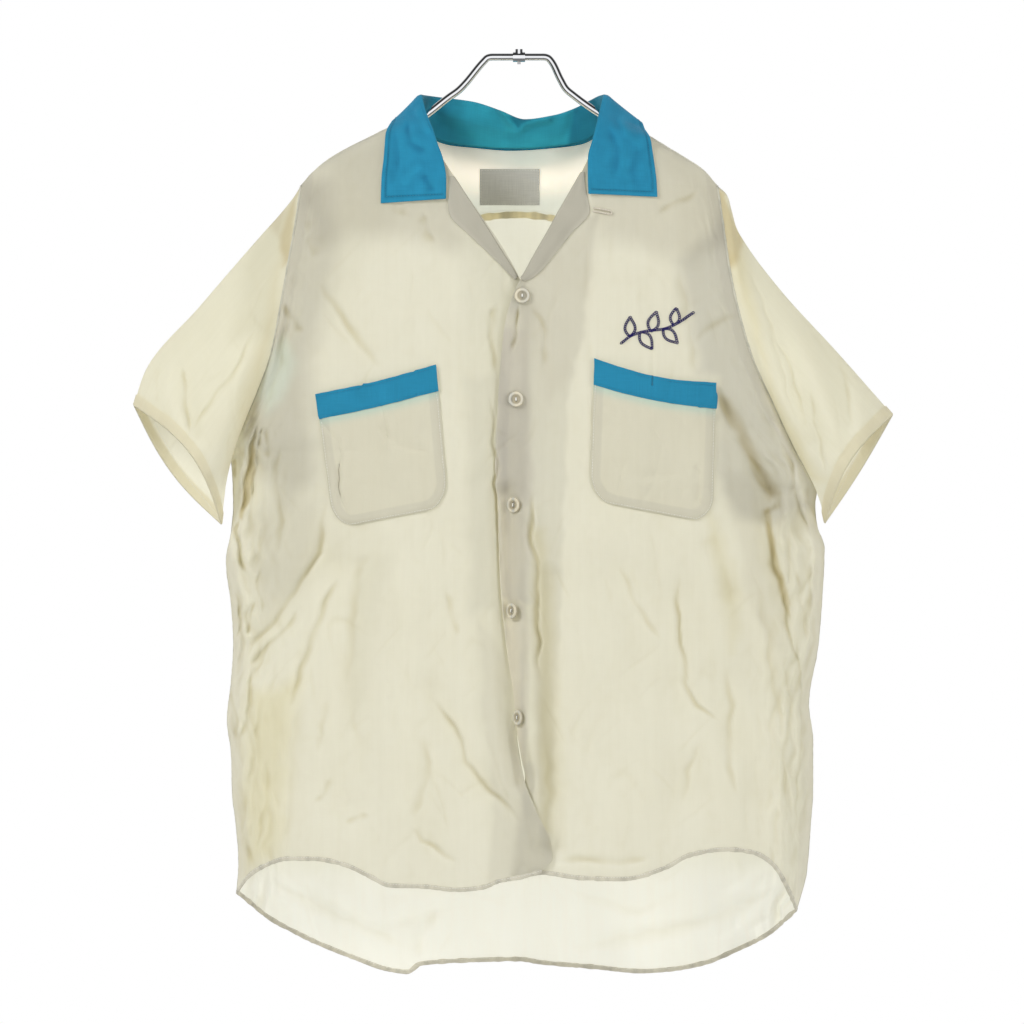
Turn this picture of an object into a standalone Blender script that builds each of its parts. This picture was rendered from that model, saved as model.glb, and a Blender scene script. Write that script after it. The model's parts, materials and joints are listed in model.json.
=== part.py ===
"""Short-sleeved bowling shirt with a camp collar, hanging on a chrome tube hanger.

All sizes are in millimetres and become metres when a mesh is made. +Z is up, the front faces -Y and the
wearer's left is +X. The origin is the middle of the hanger's top bar, which holds the shirt up.
A half's own x, called out below, is measured from the middle towards that half's side seam.
"""

import math
from collections import namedtuple

import bpy
import numpy as np
from mathutils import Vector
from mathutils.bvhtree import BVHTree

MM = 0.001

# Cloth and gaps
CLOTH = 1.5  # wall of each cloth piece
GAP = 0.3  # between pieces that touch
SEAM_HALF = 0.55  # from the middle of a wall to the plane of a shoulder or side seam
ARMHOLE_GAP = 1.5  # from the body's edge to the sleeve's first ring, middle of wall to middle of wall
UNDERARM_GAP = 3.0
YOKE_GAP = 0.5  # down from the yoke's edge to the back's edge
LAYER = CLOTH + GAP + 0.2  # from a panel's middle to the middle of cloth that lies on it
SHOULDER_ROUND = 60.0  # drop below the shoulder line over which the cloth turns from flat to upright
SIDE_POWERS = (2.4, 0.6)  # how a section rounds into the side seams
ARMHOLE_DEPTH = (38.0, 36.0)  # half depth of an armhole, front and back
CUFF_DEPTH = (50.0, 46.0)  # half depth of an open cuff, front and back
SLEEVE_RINGS = 9

# Placket: the left front lies over the right down to CROSS_TOP, and under it from CROSS_END
PLACKET_LIFT = 2.15
CROSS_TOP, CROSS_END = -655.0, -700.0
PLACKET_WIDTH, PLACKET_FADE = 16.0, 42.0  # out from the middle: all of the lift, then down to none
FOLD_FADE = 30.0  # folds die away over this distance before a side seam or armhole
BACK_LIFT = 1.5  # the collar's fall stands this much further off the yoke
ON_TOP = 0.3  # the middle of a laid piece is this much higher, over the curve of what it lies on

# Buttons: radius, thickness, rim height, dish depth
BUTTON_R, BUTTON_T, BUTTON_RIM, BUTTON_DISH = 7.6, 2.4, 0.5, 0.7
BUTTON_FAR = 25.0  # a button comes down onto the cloth from this far off
BUTTON_STEPS = 18

# Hanger: a bent tube, with a short sleeve at the middle of its top bar
TUBE_R = 3.5
TUBE_DROP = 5.8  # from a shoulder line down to the tube's middle, square to the line
FITTING_R, FITTING_L = 4.9, 11.6
BOSS_R, BOSS_TOP = 3.7, 7.5
STUB_R, STUB_END = 1.5, -7.0

LABEL_SIZE = (58.0, 35.0)
LABEL_WALL = 0.9

# Colours, linear
CREAM = (0.78, 0.74, 0.60)
TEAL = (0.03, 0.27, 0.46)
PEARL = (0.80, 0.77, 0.66)
CHROME = (0.70, 0.71, 0.73)
GREY = (0.42, 0.43, 0.42)

# Body sections from the neck down: height, half depth in front, half depth behind
Section = namedtuple("Section", "z front back")
SECTIONS = (
    Section(-40, 32, 36),
    Section(-90, 42, 40),
    Section(-130, 50, 45),
    Section(-200, 58, 51),
    Section(-330, 66, 57),
    Section(-450, 68, 59),
    Section(-600, 66, 61),
    Section(-780, 62, 62),
    Section(-890, 58, 60),
)

# One half of the body. Each outline is a row of (out, z) points.
Half = namedtuple("Half", "sign shoulder armhole side edge hem back_hem top under cuff_front cuff_back")
LEFT = Half(
    sign=1,
    shoulder=((88, -53), (128, -78), (160, -97.5), (176, -108), (190, -123.5)),
    armhole=((190, -123.5), (195, -160), (201, -203), (221, -284), (241, -329), (264, -377), (286, -414)),
    side=((286, -414), (284, -432), (286, -450), (293, -472), (291, -516), (287, -565), (278, -621),
          (282, -657), (282, -704), (280, -733), (276, -782), (266, -820)),
    edge=((88, -53), (80, -68), (71, -88), (64, -104), (1, -216), (-8, -236), (-14, -262), (-19, -320),
          (-22, -396), (-20, -440), (-17, -507), (-11, -569), (-5, -612), (-2, -645), (2, -670), (6, -692),
          (1, -730), (-7, -788)),
    hem=((-7, -788), (21, -783), (60, -788), (99, -789), (138, -779), (164, -766), (197, -761), (223, -764),
         (242, -775), (258, -801), (266, -820)),
    back_hem=((0, -870), (21, -873), (70, -877), (119, -881), (148, -879), (178, -873), (207, -861),
              (240, -843), (266, -820)),
    top=((190, -123.5), (199.5, -133), (204, -148), (208, -163), (217, -179), (251, -224), (305, -283),
         (359, -344)),
    under=(294, -448),
    cuff_front=12,
    cuff_back=-3,
)
RIGHT = Half(
    sign=-1,
    shoulder=((97, -55), (140, -75.5), (182, -98), (198, -111), (209, -123.5)),
    armhole=((209, -123.5), (213, -155), (219, -190), (226, -230), (237, -285), (249, -318), (262, -348),
             (277, -378)),
    side=((277, -378), (275, -400), (274, -430), (276, -455), (281, -484), (276, -527), (274, -563),
          (276, -598), (280, -636), (276, -670), (275, -709), (272, -733), (269, -773), (271, -803)),
    edge=((97, -55), (89, -70), (80, -88), (67, -109), (-1, -216), (-9, -238), (-9, -300), (-9, -560),
          (-7, -617), (2.4, -650), (-0.4, -671), (-4.2, -692), (-16, -722), (-30, -752), (-32, -767),
          (-20, -781)),
    hem=((-20, -781), (-3, -786), (22, -791), (34, -796), (61, -799), (91, -796), (124, -795), (144, -786),
         (169, -775), (197, -770), (222, -770), (244, -777), (259, -787), (271, -803)),
    back_hem=((0, -870), (52, -871), (95, -874), (108, -882), (124, -880), (159, -868), (197, -852),
              (238, -830), (271, -803)),
    top=((209, -123.5), (215.5, -134), (229, -151), (247, -171), (306, -239), (359, -302), (370, -335)),
    under=(286, -449),
    cuff_front=17,
    cuff_back=-10,
)

# The back neck seam and the yoke's lower seam, from the right half to the left: (x, z)
NECK_SEAM = ((-97, -55), (-92, -66), (-83, -78), (-66, -84), (-47, -86), (-8, -89), (39, -86), (60, -83),
             (71, -78), (81, -66), (88, -53))
YOKE_SEAM = ((-220, -195), (-116, -178), (0, -157), (116, -180), (200, -197))
YOKE_SHARE = 0.225  # of an armhole's length that the yoke takes

# Ridges (height over 0) and troughs (under 0): height, width, points (x, z)
Fold = namedtuple("Fold", "height width points")
FRONT_FOLDS = (
    # Beside and under the button strip
    Fold(4, 11, ((-32, -290), (-31, -400), (-29, -520), (-24, -620), (-14, -700))),
    Fold(-11, 11, ((-12, -420), (-11, -520), (-6, -600), (-3, -650), (2, -690))),
    Fold(6, 10, ((10, -440), (10, -560), (12, -640), (17, -700), (20, -745))),
    Fold(-6, 11, ((30, -500), (33, -620), (37, -700), (36, -755))),
    # Left front
    Fold(-5, 20, ((196, -350), (216, -390), (238, -420))),
    Fold(-6, 16, ((240, -405), (233, -446), (251, -540))),
    Fold(-5, 19, ((207, -521), (251, -617))),
    Fold(-5, 20, ((201, -598), (227, -704))),
    Fold(-5, 22, ((153, -521), (160, -598), (198, -650))),
    Fold(-5, 26, ((97, -500), (135, -600), (157, -700))),
    Fold(4, 18, ((268, -560), (258, -700), (254, -770))),
    # Right front
    Fold(-7, 15, ((-256, -400), (-252, -500))),
    Fold(-6, 19, ((-181, -483), (-225, -530), (-258, -580))),
    Fold(-6, 24, ((-172, -497), (-210, -590), (-225, -690))),
    Fold(-6, 30, ((-148, -483), (-160, -600), (-167, -710))),
    Fold(-4, 17, ((-85, -608), (-66, -650), (-40, -700))),
    Fold(4, 24, ((-110, -520), (-104, -720))),
    Fold(4, 16, ((-252, -620), (-244, -760))),
    Fold(-4, 18, ((-220, -215), (-234, -290))),
)
BACK_FOLDS = (
    Fold(-7, 34, ((-60, -230), (-72, -560), (-80, -850))),
    Fold(6, 30, ((-5, -180), (2, -520), (-8, -860))),
    Fold(-8, 36, ((78, -230), (88, -560), (104, -860))),
    Fold(5, 30, ((150, -420), (160, -840))),
    Fold(5, 28, ((-150, -420), (-158, -830))),
    Fold(-6, 20, ((-236, -430), (-232, -760))),
    Fold(-6, 20, ((240, -470), (236, -770))),
)

# A side pleat of the back: where it is across the panel, how far its layers lap and how far they part
PLEAT_AT = (0.115, 0.885)
Pleat = namedtuple("Pleat", "z lap part")
PLEAT = (
    Pleat(-190, 10, 2.3),
    Pleat(-300, 9, 2.6),
    Pleat(-420, 3, 4.0),
    Pleat(-560, -6, 5.0),
    Pleat(-720, -12, 5.0),
    Pleat(-880, -14, 5.0),
)
PLEAT_LAYERS = ((-1.0, 1.0), (1.0, 1.0), (1.0, 0.0), (-1.0, 0.0), (-1.0, -1.0), (1.0, -1.0))

# Collar leaves, from the tip end up: fold (x, z) and outer edge (x, z)
Leaf = namedtuple("Leaf", "fold edge")
RIGHT_LEAF = (
    Leaf((-70, -138), (-132, -142)),
    Leaf((-70, -120), (-131, -119)),
    Leaf((-73, -101), (-129, -100)),
    Leaf((-79, -84), (-128, -86)),
)
LEFT_LEAF = (
    Leaf((67, -133), (132, -136)),
    Leaf((66, -117), (131, -120)),
    Leaf((66, -99), (129, -104)),
    Leaf((70, -82), (127, -91)),
)
LEAF_ROLL, LEAF_LIFT = 1.1, 3.5

# Collar round the neck, from the right front to the left: seam (x, z), fold and outer edge (x, y, z), roll
Round = namedtuple("Round", "seam fold edge roll")
COLLAR = (
    Round((-87.5, -68.5), (-83, -33, -70), (-128, -20, -75), 1.3),
    Round((-92.5, -58), (-89, -20, -55), (-124, -8, -65), 1.6),
    Round((-95, -52), (-94, 1, -36.5), (-120, 6, -61), 2.2),
    Round((-90, -63.5), (-87, 24, -37), (-109, 34, -70), 2.4),
    Round((-78, -78.2), (-72, 38, -38.5), (-83, 51, -86), 2.4),
    Round((-47, -84.2), (-45, 41, -42), (-48, 54, -98), 2.4),
    Round((-20, -86.4), (-19, 43, -50), (-20, 55, -104), 2.4),
    Round((5, -86.8), (6, 44, -59), (6, 56, -108), 2.4),
    Round((32, -84.8), (34, 43, -55), (36, 55, -104), 2.4),
    Round((54, -82), (55, 40, -48), (60, 52, -96), 2.4),
    Round((69, -76.6), (69, 32, -41), (84, 44, -82), 2.4),
    Round((78.8, -64.3), (78, 17, -37), (104, 26, -67), 2.4),
    Round((85.5, -50.5), (81.5, 0, -36.5), (117, 3, -63), 2.2),
    Round((83.5, -57), (77.5, -22, -53), (121, -7, -70), 1.6),
    Round((77, -67), (74, -35, -68), (126, -19, -79), 1.3),
)

# Facings turned out as lapels, from the collar down: roll line (x, z) and outer edge (x, z)
Strip = namedtuple("Strip", "inner outer")
RIGHT_LAPEL = (
    Strip((-63, -116), (-66.4, -116)),
    Strip((-56, -127), (-66.8, -128)),
    Strip((-47.5, -140.5), (-68, -142.5)),
    Strip((-40, -152), (-66, -153)),
    Strip((-28.5, -170), (-49, -171)),
    Strip((-16, -190), (-29, -190)),
    Strip((-7, -204), (-13, -204)),
)
LEFT_LAPEL = (
    Strip((60, -112), (62.8, -112)),
    Strip((55, -121), (63.2, -121)),
    Strip((47.6, -134), (65.5, -135.5)),
    Strip((39, -149), (68, -148)),
    Strip((27.5, -170), (50, -171)),
    Strip((16, -190), (34, -191)),
    Strip((9, -203), (20, -207)),
)

# Pockets: corners (x, z), from the top corner nearest -X round to the lower one below it
Pocket = namedtuple("Pocket", "name top_a top_b low_b low_a sag")
POCKETS = (
    Pocket("right", (-194, -324), (-79, -296), (-67, -432), (-177, -453), 2.0),
    Pocket("left", (72, -290), (188, -313), (185, -448), (67, -426), 6.0),
)
BAND_SHARE = 0.185  # of a pocket's height
POCKET_CORNER = (24.0, 26.0)  # corner radius across and down
MOUTH_LIFT = 2.0  # how far the pocket's mouth stands off the front, over LAYER

# Buttons down the placket: x, z, turn of the face towards -X in degrees beyond the cloth's own
Button = namedtuple("Button", "x z turn")
BUTTONS = (
    Button(3, -230, 0),
    Button(-3, -329, 0),
    Button(-3, -430, 6),
    Button(-2, -531, 10),
    Button(2, -633, 14),
)

# The loop at the left lapel's corner: root, length, width, wire
LOOP_ROOT, LOOP_SLANT = (70.8, -146.2), -0.17
LOOP_LENGTH, LOOP_WIDTH, LOOP_WIRE_R = 17.5, 4.6, 0.7

# The hanger's tube from the top bar outwards: (out, z), left then right; the arms follow the shoulders
HANGER_LEFT = ((24, 0), (27.5, -0.8), (30.5, -3.6), (40, -22), (45, -30.5), (52, -36.5), (76, -53.5))
HANGER_RIGHT = ((-26, 0), (-30, -0.8), (-33.5, -4), (-52, -26), (-58, -32), (-67, -38.5), (-91, -57))
ARM_END = (163, 184)  # how far out the arms reach, left and right


def pchip(xs, ys, at):
    """Smooth curve through (xs, ys) that never overshoots a row of its table."""
    xs, ys, at = np.asarray(xs, float), np.asarray(ys, float), np.asarray(at, float)
    step = np.diff(xs)
    rise = np.diff(ys) / step
    slope = np.zeros_like(ys)
    same = rise[1:] * rise[:-1] > 0
    before, after = 2 * step[1:] + step[:-1], step[1:] + 2 * step[:-1]
    down = before * rise[1:] + after * rise[:-1]
    product = (before + after) * rise[:-1] * rise[1:]
    slope[1:-1] = np.where(same, product / np.where(same, down, 1), 0)
    slope[0], slope[-1] = rise[0], rise[-1]
    k = np.clip(np.searchsorted(xs, at, side="right") - 1, 0, len(xs) - 2)
    t = np.clip((at - xs[k]) / step[k], 0, 1)
    near = ys[k] * (1 + 2 * t) * (1 - t) ** 2 + slope[k] * step[k] * t * (1 - t) ** 2
    far = ys[k + 1] * t**2 * (3 - 2 * t) - slope[k + 1] * step[k] * t**2 * (1 - t)
    return near + far


def along(points, share):
    """Points at these shares of the length of a smooth curve through points."""
    points = np.asarray(points, float)
    length = np.concatenate([[0], np.cumsum(np.linalg.norm(np.diff(points, axis=0), axis=1))])
    share = np.asarray(share, float) * length[-1]
    return np.stack([pchip(length, column, share) for column in points.T], axis=-1)


def coons(top, bottom, start, end):
    """Grid of points inside four boundary rows: top and bottom run across, start and end run down."""
    down, across = len(start), len(top)
    v = np.linspace(0, 1, down)[:, None, None]
    s = np.linspace(0, 1, across)[None, :, None]
    top, bottom = top[None, :, :], bottom[None, :, :]
    start, end = start[:, None, :], end[:, None, :]
    start_line = (1 - v) * top[:, :1] + v * bottom[:, :1]
    end_line = (1 - v) * top[:, -1:] + v * bottom[:, -1:]
    return (1 - v) * top + v * bottom + (1 - s) * (start - start_line) + s * (end - end_line)


def smooth_step(low, high, at):
    t = np.clip((at - low) / (high - low), 0, 1)
    return t * t * (3 - 2 * t)


def folds(table, x, z):
    """Sum of the table's ridges and troughs at (x, z)."""
    total = np.zeros(np.broadcast(x, z).shape)
    for fold in table:
        nearest = np.full(total.shape, np.inf)
        for (ax, az), (bx, bz) in zip(fold.points, fold.points[1:]):
            dx, dz = bx - ax, bz - az
            t = np.clip(((x - ax) * dx + (z - az) * dz) / (dx * dx + dz * dz), 0, 1)
            nearest = np.minimum(nearest, np.hypot(x - ax - t * dx, z - az - t * dz))
        total += fold.height * np.exp(-((nearest / fold.width) ** 2))
    return total


def half_at(x, of_left, of_right):
    return np.where(x >= 0, of_left, of_right)


def side_out(half, z):
    """How far out the half's armhole or side seam is at this height."""
    rows = np.array(half.armhole + half.side[1:], float)[::-1]
    return pchip(rows[:, 1], rows[:, 0], z)


def shoulder_z(half, out):
    """Height of the shoulder line, which runs straight on beyond its ends."""
    outs, heights = np.array(half.shoulder, float).T
    slopes = np.diff(heights) / np.diff(outs)
    beyond = slopes[0] * np.minimum(out - outs[0], 0) + slopes[-1] * np.maximum(out - outs[-1], 0)
    return pchip(outs, heights, np.clip(out, outs[0], outs[-1])) + beyond


def armhole_depth(half, z):
    """1 at the middle of the armhole and 0 at its top, at the underarm and below it."""
    top, under = half.armhole[0][1], half.armhole[-1][1]
    share = np.clip((top - z) / (top - under), 0, 1)
    return np.maximum(np.sin(math.pi * share), 0) ** 0.8


def depth(x, z, behind):
    """Half depth of the body at (x, z), in front or behind, without its folds."""
    left, right = side_out(LEFT, z), side_out(RIGHT, z)
    middle, width = (left - right) / 2, (left + right) / 2
    u = np.clip(np.abs((x - middle) / width), 0, 1)
    lens = (1 - u ** SIDE_POWERS[0]) ** SIDE_POWERS[1]
    heights = [row.z for row in SECTIONS][::-1]
    depths = [row.back if behind else row.front for row in SECTIONS][::-1]
    full = pchip(heights, depths, z)
    side = ARMHOLE_DEPTH[behind] * half_at(x, armhole_depth(LEFT, z), armhole_depth(RIGHT, z))
    line = half_at(x, shoulder_z(LEFT, np.abs(x)), shoulder_z(RIGHT, np.abs(x)))
    drop = np.clip((line - z) / SHOULDER_ROUND, 0, 1)
    rounding = np.sqrt(1 - (1 - drop) ** 2)
    return rounding * (side + (full - side) * lens), rounding


def placket_shift(half, x, z):
    """Forward shift that keeps the two fronts apart where they lap."""
    over = 1 - 2 * smooth_step(CROSS_TOP, CROSS_END, z)
    inside = 1 - smooth_step(PLACKET_WIDTH, PLACKET_WIDTH + PLACKET_FADE, half.sign * x)
    return half.sign * over * inside * PLACKET_LIFT


def front_y(half, x, z):
    out, rounding = depth(x, z, False)
    wave = folds(FRONT_FOLDS, x, z)
    tilt = folds(FRONT_FOLDS, x + 1, z) - wave
    apart = placket_shift(half, x, z) * np.hypot(1, tilt)
    return -SEAM_HALF - out - rounding * (wave * side_fade(x, z) + apart)


def back_y(x, z):
    out, rounding = depth(x, z, True)
    return SEAM_HALF + out + rounding * folds(BACK_FOLDS, x, z) * side_fade(x, z)


def side_fade(x, z):
    """Folds die away at the side seams and armholes, where the next piece is sewn on."""
    edge = half_at(x, side_out(LEFT, z), side_out(RIGHT, z))
    return smooth_step(0, FOLD_FADE, edge - np.abs(x))


def lifted(surface, x, z, lift, outward):
    """Points of a surface y = f(x, z), moved out along its normal by lift."""
    step = 1.0
    y = surface(x, z)
    slope_x = (surface(x + step, z) - surface(x - step, z)) / (2 * step)
    slope_z = (surface(x, z + step) - surface(x, z - step)) / (2 * step)
    normal = np.stack([slope_x, -np.ones_like(y), slope_z], axis=-1)
    normal /= np.linalg.norm(normal, axis=-1, keepdims=True)
    return np.stack([x, y, z], axis=-1) - outward * normal * np.asarray(lift)[..., None]


def on_front(half, points, lift):
    """Points (x, z) laid on a half's front, moved out by lift."""
    points = np.asarray(points, float)
    return lifted(lambda x, z: front_y(half, x, z), points[..., 0], points[..., 1], lift, -1)


def on_back(points, lift):
    """Points (x, z) laid on the yoke or back, moved out by lift, or in when it is under 0."""
    points = np.asarray(points, float)
    return lifted(back_y, points[..., 0], points[..., 1], lift, 1)


def finish(obj, colour, roughness, metallic):
    """Puts the object in the shirt's collection with a material of its own."""
    material = bpy.data.materials.new(obj.name)
    material.use_nodes = True
    shader = material.node_tree.nodes["Principled BSDF"]
    shader.inputs["Base Color"].default_value = (*colour, 1)
    shader.inputs["Roughness"].default_value = roughness
    shader.inputs["Metallic"].default_value = metallic
    obj.data.materials.append(material)
    bpy.data.collections["bowling_shirt_on_hanger"].objects.link(obj)


def grid_mesh(name, grid, closed):
    """Mesh through a grid of points in mm: rows of columns, or of rings when closed."""
    rows, columns = grid.shape[:2]
    index = np.arange(rows * columns).reshape(rows, columns)
    if closed:
        index = np.hstack([index, index[:, :1]])
    quads = np.stack([index[:-1, :-1], index[:-1, 1:], index[1:, 1:], index[1:, :-1]], axis=-1)
    mesh = bpy.data.meshes.new(name)
    mesh.from_pydata((grid.reshape(-1, 3) * MM).tolist(), [], quads.reshape(-1, 4).tolist())
    mesh.shade_smooth()
    return mesh


def cloth(name, grid, colour=CREAM, closed=False, wall=CLOTH):
    """One cut piece: a sheet through the grid, thickened to both sides."""
    obj = bpy.data.objects.new(name, grid_mesh(name, grid, closed))
    thicken = obj.modifiers.new("Cloth wall", "SOLIDIFY")
    thicken.thickness = wall * MM
    thicken.offset = 0
    finish(obj, colour, 0.8, 0)
    return obj


def eased(count, power):
    """Shares from 0 to 1 that start close together."""
    return np.linspace(0, 1, count + 1) ** power


ARMHOLE_ROWS, YOKE_ROWS, BACK_ARMHOLE_ROWS = 13, 4, 8
FRONT_SIDE_ROWS, BACK_SIDE_ROWS = 19, 14
ARMHOLE_SHARES = eased(ARMHOLE_ROWS, 1.4)
YOKE_SHARES = eased(YOKE_ROWS, 1.5) * YOKE_SHARE
BACK_SHARES = YOKE_SHARE + (1 - YOKE_SHARE) * np.linspace(0, 1, BACK_ARMHOLE_ROWS + 1)
FRONT_COLUMNS = (0, 0.02, 0.04, 0.06, 0.08, 0.105, 0.135, 0.17, 0.21, 0.26, 0.32, 0.38, 0.44, 0.5, 0.56, 0.62,
                 0.68, 0.74, 0.8, 0.855, 0.905, 0.95, 0.98, 1)
BACK_COLUMNS = np.concatenate([(0, 0.012, 0.035, 0.07, 0.115), np.linspace(0.165, 0.835, 15),
                               (0.885, 0.93, 0.965, 0.988, 1)])


def flip(half, points):
    """A half's own (out, z) points as (x, z)."""
    return np.asarray(points, float) * (half.sign, 1)


def front(name, half):
    """A front panel, from the neck, lapel and placket edge out to the shoulder, armhole and side seam."""
    side = np.concatenate([
        along(half.armhole, ARMHOLE_SHARES),
        along(half.side, np.linspace(0, 1, FRONT_SIDE_ROWS + 1)[1:]),
    ])
    # Row heights on the placket edge follow the side's heights, so that rows stay nearly level.
    edge = np.asarray(half.edge, float)
    level = (side[:, 1] - side[0, 1]) / (side[-1, 1] - side[0, 1])
    heights = edge[0, 1] + (edge[-1, 1] - edge[0, 1]) * level
    inner = np.stack([pchip(edge[::-1, 1], edge[::-1, 0], heights), heights], axis=-1)
    shoulder = along(half.shoulder, FRONT_COLUMNS)
    grid = coons(shoulder, along(half.hem, FRONT_COLUMNS), inner, side)
    grid[..., 0] *= half.sign
    y = front_y(half, grid[..., 0], grid[..., 1])
    return cloth(name, np.stack([grid[..., 0], y, grid[..., 1]], axis=-1))


def yoke():
    """Shoulders and upper back, down to the yoke seam."""
    shoulder_columns, neck_columns = 7, 12
    run = np.linspace(0, 1, shoulder_columns + 1)
    right = flip(RIGHT, along(RIGHT.shoulder, run))[::-1]
    left = flip(LEFT, along(LEFT.shoulder, run))
    neck = along(NECK_SEAM, np.linspace(0, 1, neck_columns + 1))
    top = np.concatenate([right, neck[1:-1], left])
    bottom = along(YOKE_SEAM, np.linspace(0, 1, len(top)))
    start = flip(RIGHT, along(RIGHT.armhole, YOKE_SHARES))
    end = flip(LEFT, along(LEFT.armhole, YOKE_SHARES))
    bottom = bottom + np.linspace(start[-1] - bottom[0], end[-1] - bottom[-1], len(top))
    grid = coons(top, bottom, start, end)
    y = back_y(grid[..., 0], grid[..., 1])
    cloth("yoke", np.stack([grid[..., 0], y, grid[..., 1]], axis=-1))
    return bottom


def pleated(grid):
    """Adds the two side pleats: six columns each that run over, under and on."""
    parts, done = [], 0
    laps = pchip([row.z for row in PLEAT][::-1], [row.lap for row in PLEAT][::-1], grid[:, 0, 2])
    spaces = pchip([row.z for row in PLEAT][::-1], [row.part for row in PLEAT][::-1], grid[:, 0, 2])
    for share, way in zip(PLEAT_AT, (1, -1)):
        here = int(np.searchsorted(BACK_COLUMNS, share))
        parts.append(grid[:, done:here])
        run = grid[:, here + 1] - grid[:, here - 1]
        run /= run[:, :1]
        for lap, layer in PLEAT_LAYERS:
            moved = grid[:, here] + run * (way * lap * laps)[:, None]
            moved[:, 1] += layer * spaces
            parts.append(moved[:, None])
        done = here + 1
    parts.append(grid[:, done:])
    return np.concatenate(parts, axis=1)


def back(yoke_bottom):
    """Back panel with its long tail and its side pleats."""
    sides = []
    for half in (RIGHT, LEFT):
        armhole = along(half.armhole, BACK_SHARES)
        side = along(half.side, np.linspace(0, 1, BACK_SIDE_ROWS + 1)[1:])
        sides.append(flip(half, np.concatenate([armhole, side])))
    start, end = sides
    top = along(yoke_bottom, BACK_COLUMNS)
    hem = np.concatenate([flip(RIGHT, RIGHT.back_hem)[::-1], flip(LEFT, LEFT.back_hem)[1:]])
    grid = coons(top, along(hem, BACK_COLUMNS), start, end)
    clear = np.zeros(len(start))
    clear[0], clear[1] = YOKE_GAP, YOKE_GAP / 2
    grid[..., 1] -= clear[:, None]
    y = back_y(grid[..., 0], grid[..., 1])
    cloth("back", pleated(np.stack([grid[..., 0], y, grid[..., 1]], axis=-1)))


def sleeve(name, half):
    """Sleeve tube from the armhole ring, whose points are the body's own, to the open cuff."""
    front_shares, back_shares = ARMHOLE_SHARES, np.concatenate([YOKE_SHARES, BACK_SHARES[1:]])
    shares = np.concatenate([front_shares, back_shares[-2:0:-1]])
    behind = np.arange(len(shares)) > ARMHOLE_ROWS
    armhole = along(half.armhole, shares)
    x, z = armhole[:, 0] * half.sign, armhole[:, 1]
    y = np.where(behind, back_y(x, z), front_y(half, x, z))
    cuff_top, cuff_low = np.array(half.top[-1], float), np.array(half.under, float)
    ahead, behind_it = np.clip(shares + 0.01, 0, 1), np.clip(shares - 0.01, 0, 1)
    run = along(half.armhole, ahead) - along(half.armhole, behind_it)
    run /= np.linalg.norm(run, axis=1, keepdims=True)
    clear = ARMHOLE_GAP + (UNDERARM_GAP - ARMHOLE_GAP) * smooth_step(0.75, 1, shares)
    first = np.stack([armhole[:, 0] - run[:, 1] * clear, y, armhole[:, 1] + run[:, 0] * clear], axis=-1)
    across = (cuff_low - cuff_top) / np.linalg.norm(cuff_low - cuff_top)
    square = np.array([across[1], -across[0]])
    bow = np.sin(math.pi * shares)[:, None]
    offset = np.where(behind, half.cuff_back, half.cuff_front)[:, None]
    ring = cuff_top + (cuff_low - cuff_top) * shares[:, None] + square * offset * bow
    cuff_y = np.where(behind, CUFF_DEPTH[1], -CUFF_DEPTH[0]) * np.maximum(bow[:, 0], 0) ** 0.7
    last = np.stack([ring[:, 0], cuff_y, ring[:, 1]], axis=-1)
    run = eased(SLEEVE_RINGS, 1.5)
    top_line = along(half.top, run)
    straight = top_line[0] + (top_line[-1] - top_line[0]) * run[:, None]
    rings = []
    for share, bend in zip(run, top_line - straight):
        ring = first + (last - first) * share
        hold = (1 - shares) ** 2
        ring[:, 0] += bend[0] * hold
        ring[:, 2] += bend[1] * hold
        ring[:, 1] *= 1 + 0.12 * math.sin(math.pi * share)
        ring[:, 0] *= half.sign
        rings.append(ring)
    return cloth(name, np.array(rings), closed=True)


def rolled(seam, fold, edge, roll):
    """One section of the collar: up the stand from the seam, over the fold and down the fall."""
    inner, outer = seam - fold, edge - fold
    inner, outer = inner / np.linalg.norm(inner), outer / np.linalg.norm(outer)
    crest = -(inner + outer)
    crest /= np.linalg.norm(crest)
    across = outer - inner
    across -= crest * (across @ crest)
    across /= np.linalg.norm(across)
    turn_in = fold - roll * (across + crest)
    turn_out = fold + roll * (across - crest)
    return np.array([
        seam,
        seam * 0.5 + turn_in * 0.5,
        turn_in,
        fold,
        turn_out,
        turn_out * 0.75 + edge * 0.25,
        (turn_out + edge) / 2,
        turn_out * 0.25 + edge * 0.75,
        edge,
    ])


def over_front(half, point):
    """The point, moved out if it lies closer to the front than cloth on top of it can."""
    least = on_front(half, point[[0, 2]], LAYER + 2 * ON_TOP)
    return least if least[1] < point[1] else point


def leaf_rows(half, table):
    rows = []
    for leaf in table:
        fold = on_front(half, leaf.fold, LEAF_LIFT)
        edge = on_front(half, leaf.edge, LAYER + ON_TOP)
        way = (edge - fold) / np.linalg.norm(edge - fold)
        seam = fold + way * 2.4 * LEAF_ROLL + np.array([0, LEAF_ROLL, 0])
        section = rolled(seam, fold, edge, LEAF_ROLL)
        section[5:8] = [over_front(half, point) for point in section[5:8]]
        rows.append(section)
    return rows


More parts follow.
